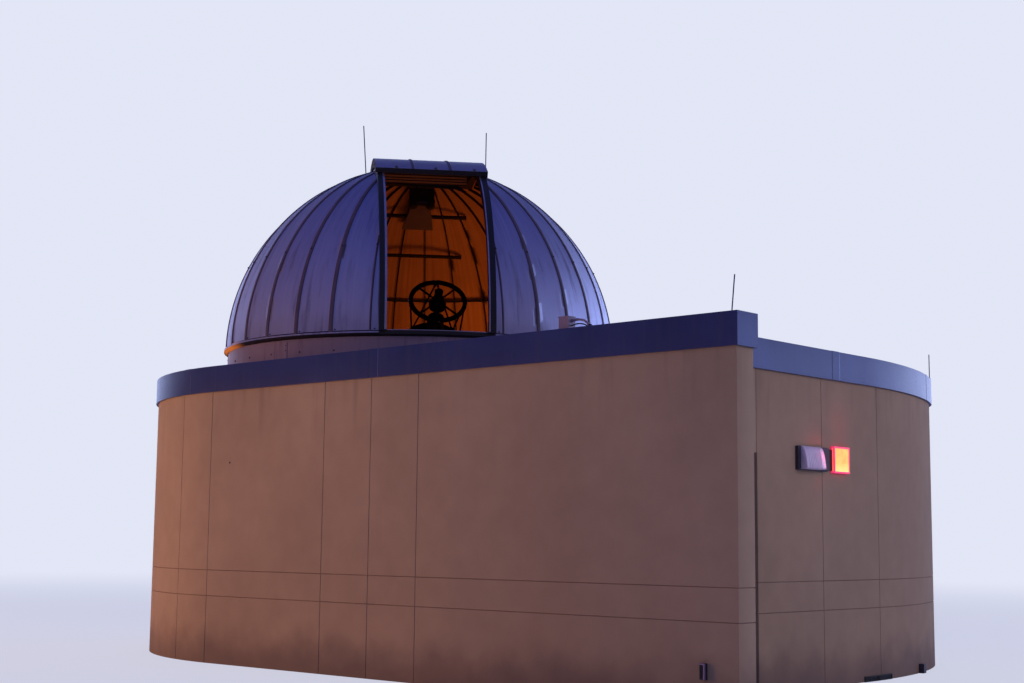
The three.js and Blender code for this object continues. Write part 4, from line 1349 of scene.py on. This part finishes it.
def makeDoorway():
    def addFurniture(mesh):  # kick plate, the handle's rose and the lock
        d, outwards = door, (1, 0, 0)
        low, high, plate = lowOf("door_leaf").y + 0.03, highOf("door_leaf").y - 0.03, d["face"] + d["plateProud"]
        addBox(mesh, (d["face"] - 0.0005, low, d["plateLow"]), (plate, high, d["plateHigh"]), 1)
        for y in (low + 0.02, (low + high) / 2, high - 0.02):
            for z in (d["plateLow"] + 0.015, d["plateHigh"] - 0.015):
                addScrew(mesh, (plate, y, z), outwards)
        rose = [(d["rose"], -0.001), (d["rose"], 0.006), (0.02, 0.009)]
        addTurned(mesh, (d["face"], high - 0.04, d["handle"]), outwards, rose, 24, 1)
        addTurned(mesh, (d["face"], high - 0.04, d["lock"]), outwards, d["barrel"], 24, 1)

    dressNode("door_leaf", "door", doorFinish, 0.0015, addFurniture, [steelFinish])
    dressNode("door_frame", "building", doorFinish)


# Fittings on the walls and coping

lamp = {
    "back": 0.030,
    "blackEnd": 0.045,
    "lens": (-0.925, -0.563),  # where it starts and ends along the wall
    "face": ((2.127, 0.092), (2.134, 0.104), (2.146, 0.1065), (2.19, 0.102), (2.24, 0.094), (2.29, 0.084),
             (2.325, 0.073), (2.346, 0.058), (2.355, 0.042), (2.357, 0.029)),  # level and depth, upwards
    "flutes": 8,
    "fluteSteps": 8,
    "fluteDepth": 0.006,
    "border": 0.06,
    "startRound": ((0, 0.008), (0.004, 0.0015), (0.01, 0.0)),  # distance along and how far back
    "endRound": ((-0.016, 0.0), (-0.007, 0.002), (-0.002, 0.008), (0, 0.016)),
    "rest": 0.056,  # depth of the housing beside the lens
    "coupling": 0.014,
}
sign = {"bar": 0.017, "back": 0.02, "inset": 0.0025, "lip": 0.004}
junction = {
    "plate": ((5.046, -3.164, 3.478), (5.178, -3.056)),
    "screws": [(x, y) for x in (5.062, 5.162) for y in (-3.15, -3.07)],
    "gland": (5.17, -3.104, 3.455),
    "glandProfile": ((0.013, 0), (0.013, 0.014), (0.009, 0.018), (0.009, 0.028)),
    "cables": {  # by radius
        0.007: ((5.19, -3.104, 3.455), (5.24, -3.10, 3.46), (5.31, -3.10, 3.437), (5.365, -3.104, 3.40),
                (5.40, -3.108, 3.3585)),
        0.006: ((5.17, -3.115, 3.40), (5.25, -3.12, 3.412), (5.33, -3.12, 3.4), (5.405, -3.115, 3.3585)),
    },
    "boot": (5.395, -3.111, 3.3555),
    "bootProfile": ((0.03, 0), (0.03, 0.012), (0.022, 0.03), (0.012, 0.042)),
}
vent = {
    "posts": (-1, 1.8, 4.6),  # degrees
    "step": 0.35,
    "proud": 0.0015,
    "depth": 0.0125,
    "rim": 0.008,
    "slats": 4,
    "slatRise": 0.0095,
}


def makeEmergencyLight():
    (x0, y0, z0), (_, y1, z1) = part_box("emergency_light")
    mesh = bmesh.new()
    start, end = lamp["lens"]
    back, rest = x0 + lamp["back"], x0 + lamp["rest"]
    addBox(mesh, (x0, y0 + lamp["blackEnd"], z0), (back, y1, z1), 0)
    addBox(mesh, (x0, y0, z0 + 0.004), (back + 0.006, y0 + lamp["blackEnd"], z1 - 0.004), 0)
    joiner = lowOf("lit_sign").y - building["seat"]  # a dark coupling that runs on to the sign
    addBox(mesh, (x0, y1 - 0.001, z0 + 0.014), (x0 + lamp["coupling"], joiner, z1 - 0.014), 2)
    addBox(mesh, (back - 0.001, end + 0.002, z0 + 0.012), (rest, y1 - 0.01, z1 - 0.008), 0)
    addBox(mesh, (back, end + 0.03, z0 + 0.03), (rest + 0.003, y1 - 0.035, z1 - 0.03), 2)
    span, steps = (end - start - 2 * lamp["border"]) / lamp["flutes"], lamp["fluteSteps"]
    columns = [(start + along, cut) for along, cut in lamp["startRound"]]
    for i in range(lamp["flutes"] * steps + 1):
        wave = abs(sin(pi * i / steps))
        columns.append((start + lamp["border"] + span * i / steps, lamp["fluteDepth"] * (1 - wave)))
    columns += [(end + along, cut) for along, cut in lamp["endRound"]]
    rings = []
    for y, cut in columns:
        front = [Vector((x0 + max(depth - cut, 0.012), y, z + min(cut * 0.4, 0.004))) for z, depth in lamp["face"]]
        rings.append([Vector((x0 + 0.02, y, z0 + 0.01)), *front, Vector((x0 + 0.02, y, z1 - 0.002))])
    addLoft(mesh, rings, 1)
    addPiece("emergencyLight", mesh, "building", [housingFinish, ribbedLens, darkPaint], "emergency_light",
             sharpAngle=50)


def makeLitSign():
    (x0, y0, z0), (x1, y1, z1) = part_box("lit_sign")
    bar, inset, back = sign["bar"], sign["inset"], x0 + sign["back"]
    mesh = bmesh.new()
    addBox(mesh, (back, y0 + inset, z0 + inset), (x1 - inset, y1 - inset, z1 - inset), 0)
    addBox(mesh, (x0, y0, z0), (back, y1, z1), 1)
    for y in (y0, y1 - bar):
        for z in (z0, z1 - bar):
            addBox(mesh, (back - 0.0005, y, z), (x1 - bar + 0.0005, y + bar, z + bar), 1)
        addBox(mesh, (x1 - bar, y, z0), (x1, y + bar, z1), 1)
    for z in (z0, z1 - bar):
        addBox(mesh, (x1 - bar, y0 + bar - 0.0005, z), (x1, y1 - bar + 0.0005, z + bar), 1)
    for z in (z0, z1 - sign["lip"]):
        addBox(mesh, (back - 0.0005, y0 + bar, z), (x1 - bar, y1 - bar, z + sign["lip"]), 1)
    addPiece("litSign", mesh, "building", [signFace, signEdge], "lit_sign", arris=0.0015)


def makeOutletBox():
    (x0, y0, z0), (x1, y1, z1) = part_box("outlet_box")
    mesh = bmesh.new()
    addBox(mesh, (x0, y1 - 0.03, z0), (x1, y1, z1), 0)
    addBox(mesh, (x0, y0, z1 - 0.012), (x1, y1 - 0.029, z1), 1)
    addBox(mesh, (x1 - 0.012, y0, z0), (x1, y1 - 0.029, z1 - 0.0115), 1)
    addBox(mesh, (x0 + 0.01, y1 - 0.034, z0 + 0.012), (x1 - 0.02, y1 - 0.029, z1 - 0.024), 2)
    finishes = [housingFinish, boxFinish, darkPaint]
    addPiece("outletBox", mesh, "building", finishes, "outlet_box", arris=0.002)


def makeJunctionBox():
    j, top, upwards = junction, highOf("junction_box").z, (0, 0, 1)
    mesh = solidFrom("junction_box")
    addBox(mesh, j["plate"][0], (*j["plate"][1], top))
    for x, y in j["screws"]:
        addScrew(mesh, (x, y, top - 0.001), upwards)
    addTurned(mesh, j["gland"], (1, 0, 0), j["glandProfile"], 14)
    for radius, route in j["cables"].items():
        addPipe(mesh, smoothRoute(route, 6), radius, 10, 2)
    addTurned(mesh, j["boot"], upwards, j["bootProfile"], 16, 2)
    finishes = [boxFinish, steelFinish, darkPaint]
    addPiece("junctionBox", mesh, "building", finishes, "junction_box", arris=0.002)


def makeBaseVent():
    v, depth, rim = vent, vent["depth"], vent["rim"]
    centre, outer = building["rightCentre"], building["rightRadius"] + v["proud"]
    base, top = lowOf("base_vent").z, highOf("base_vent").z
    profiles = [squared(0, depth, z, z + rim) for z in (base, top - rim)]
    for i in range(v["slats"]):
        z = base + 0.012 + i * v["slatRise"]
        profiles.append([(0.001, z + 0.003), (0.0105, z), (0.0105, z + 0.0015), (0.001, z + 0.005)])
    profiles.append(squared(0, 0.001, base + 0.007, top - 0.007))
    mesh = bmesh.new()
    for profile in profiles:
        addSweep(mesh, arcFrames(centre, outer, v["posts"][0], v["posts"][-1], v["step"]), profile)
    for angle in v["posts"]:
        point, outward = arcFrame(centre, outer, angle)
        along, out = Vector((-outward.y, outward.x, 0)) * 0.004, outward * depth
        corners = (point - along, point + along, point + along + out, point - along + out)
        addPost(mesh, [corner.xy for corner in corners], base, top)
    addPiece("baseVent", mesh, "building", [darkPaint], "base_vent")


makeDoorway()
makeEmergencyLight()
makeLitSign()
makeOutletBox()
makeJunctionBox()
makeBaseVent()
dressNode("drain_box", "building", housingFinish, 0.004)
for rod in ("fin_rod", "side_rod"):
    dressNode(rod, "building", rodFinish, 0.001)
print("doorway and fittings done")


# Stage: floor, soft light and the camera of the photograph

shot = {
    "place": (14.422, -14.157, 1.424),
    "heading": (-0.6712, 0.7413, 0.0),
    "pitch": 7.213,  # degrees
    "roll": 0.586,
    "lens": 54.66,
    "sensor": 36.0,
}
studio = {
    "backdrop": (0.76, 0.79, 0.92),
    "floor": (0.80, 0.79, 0.83),
    "floorSeen": 0.36,  # the floor's share of its colour for the camera, which also sees it glow
    "floorRadius": 120.0,
    "floorNear": 0.72,
    "floorFade": (8.0, 45.0),
    "overhead": (0.058, 0.076, 0.285),
    "horizon": (0.125, 0.10, 0.145),
    "pale": (1.35, 1.60, 2.6),  # a bright stretch low in the sky
    "paleAzimuth": 110.0,
    "paleSpread": (0.1, 0.9),  # cosines where it fades out and where it is full
    "paleHeight": (0.08, 0.62),
}
lights = {  # place, target, size, colour, power
    "warmSide": ((-12.5, -15, 2.2), (-1, -3, 1.6), 8.0, (1.0, 0.43, 0.13), 1950),
    "softSide": ((26, 4, 11), (5, -1, 2.0), 13.0, (1.0, 0.72, 0.66), 980),
    "softTop": ((5, -23, 17), (2, -2, 2), 14.0, (0.70, 0.74, 0.92), 290),
    "domeLamp": ((0.5, 0.5, 2.6), (0.1, 1.1, 6.0), 3.2, (1.0, 0.25, 0.035), 27),
    "domeGlow": ((0.1, 1.95, 3.3), (-0.8, 2.2, 4.9), 1.0, (1.0, 0.28, 0.035), 16),
    "signSide": ((6.42, -0.49, 2.27), (6.34, -0.59, 2.26), 0.05, (1.0, 0.03, 0.1), 0.3),
    "signGlow": ((6.48, -0.15, 2.58), (6.25, -0.15, 2.70), 0.16, (1.0, 0.05, 0.06), 0.09),
}


def makeCamera():
    pitch, roll = radians(shot["pitch"]), radians(shot["roll"])
    forward = Vector(shot["heading"]).normalized() * cos(pitch) + Vector((0, 0, sin(pitch)))
    level = forward.cross(Vector((0, 0, 1))).normalized()
    lift = level.cross(forward)
    right = level * cos(roll) + lift * sin(roll)
    up = lift * cos(roll) - level * sin(roll)
    data = bpy.data.cameras.new("photoCamera")
    data.lens, data.sensor_width, data.sensor_fit = shot["lens"], shot["sensor"], "HORIZONTAL"
    data.clip_end = 400
    camera = bpy.data.objects.new("photoCamera", data)
    scene.collection.objects.link(camera)
    turn = Matrix((right, up, -forward)).transposed().to_4x4()
    camera.matrix_world = Matrix.Translation(shot["place"]) @ turn
    scene.camera = camera


def addSoftbox(name, place, target, size, colour, power):
    data = bpy.data.lights.new(name, "AREA")
    data.shape, data.size = "DISK", size
    data.color, data.energy = colour, power
    light = bpy.data.objects.new(name, data)
    scene.collection.objects.link(light)
    light.visible_glossy = light.visible_camera = False
    aim = (Vector(target) - Vector(place)).to_track_quat("-Z", "Y")
    light.matrix_world = Matrix.Translation(place) @ aim.to_matrix().to_4x4()


def makeFloor():  # lit near the building, and fading into the backdrop far away
    mesh = bmesh.new()
    rim = discPoints((0, 0, -0.002), (0, 0, 1), studio["floorRadius"], 96)
    mesh.faces.new([mesh.verts.new(point) for point in rim])
    material, tree, shader = newMaterial("paleFloor", roughness=0.95, specular=0.0)
    far = remap(tree, measure(tree, "LENGTH", ownSpace(tree)), *studio["floorFade"])
    seen = newNode(tree, "LightPath").outputs["Is Camera Ray"]
    fade = calc(tree, "MULTIPLY_ADD", far, 1 - studio["floorNear"], studio["floorNear"])
    tree.links.new(product(tree, seen, fade), shader.inputs["Emission Strength"])
    shader.inputs["Emission Color"].default_value = (*studio["backdrop"], 1)
    darker = tuple(value * studio["floorSeen"] for value in studio["floor"])
    near = blendColours(tree, seen, studio["floor"], darker)
    connect(tree, shader, colour=tint(tree, near, far, seen, (0, 0, 0)))
    floor = bpy.data.objects.new("paleFloor", meshFrom("paleFloor", mesh, [material]))
    scene.collection.objects.link(floor)


def makeSky():
    world = bpy.data.worlds.new("softStudio")
    scene.world = world
    world.use_nodes = True
    tree = world.node_tree
    tree.nodes.clear()
    way = newNode(tree, "TexCoord").outputs["Generated"]
    height = axesOf(tree, way)["Z"]
    lighting = blendColours(tree, remap(tree, height, 0.0, 0.8), studio["horizon"], studio["overhead"])
    centre = polar(studio["paleAzimuth"])
    likeness = measure(tree, "DOT_PRODUCT", way, (centre.x, centre.y, 0.1))
    low = remap(tree, height, *studio["paleHeight"], 1.0, 0.0)
    lighting = tint(tree, lighting, remap(tree, likeness, *studio["paleSpread"]), low, studio["pale"])
    seen = newNode(tree, "LightPath").outputs["Is Camera Ray"]
    colour = blendColours(tree, seen, lighting, studio["backdrop"])
    background = newNode(tree, "Background", {"Color": colour, "Strength": 1.0})
    newNode(tree, "OutputWorld", {"Surface": background.outputs[0]})


makeCamera()
makeFloor()
makeSky()
for name, row in lights.items():
    addSoftbox(name, *row)
scene.view_settings.view_transform = "Standard"
print("stage done")
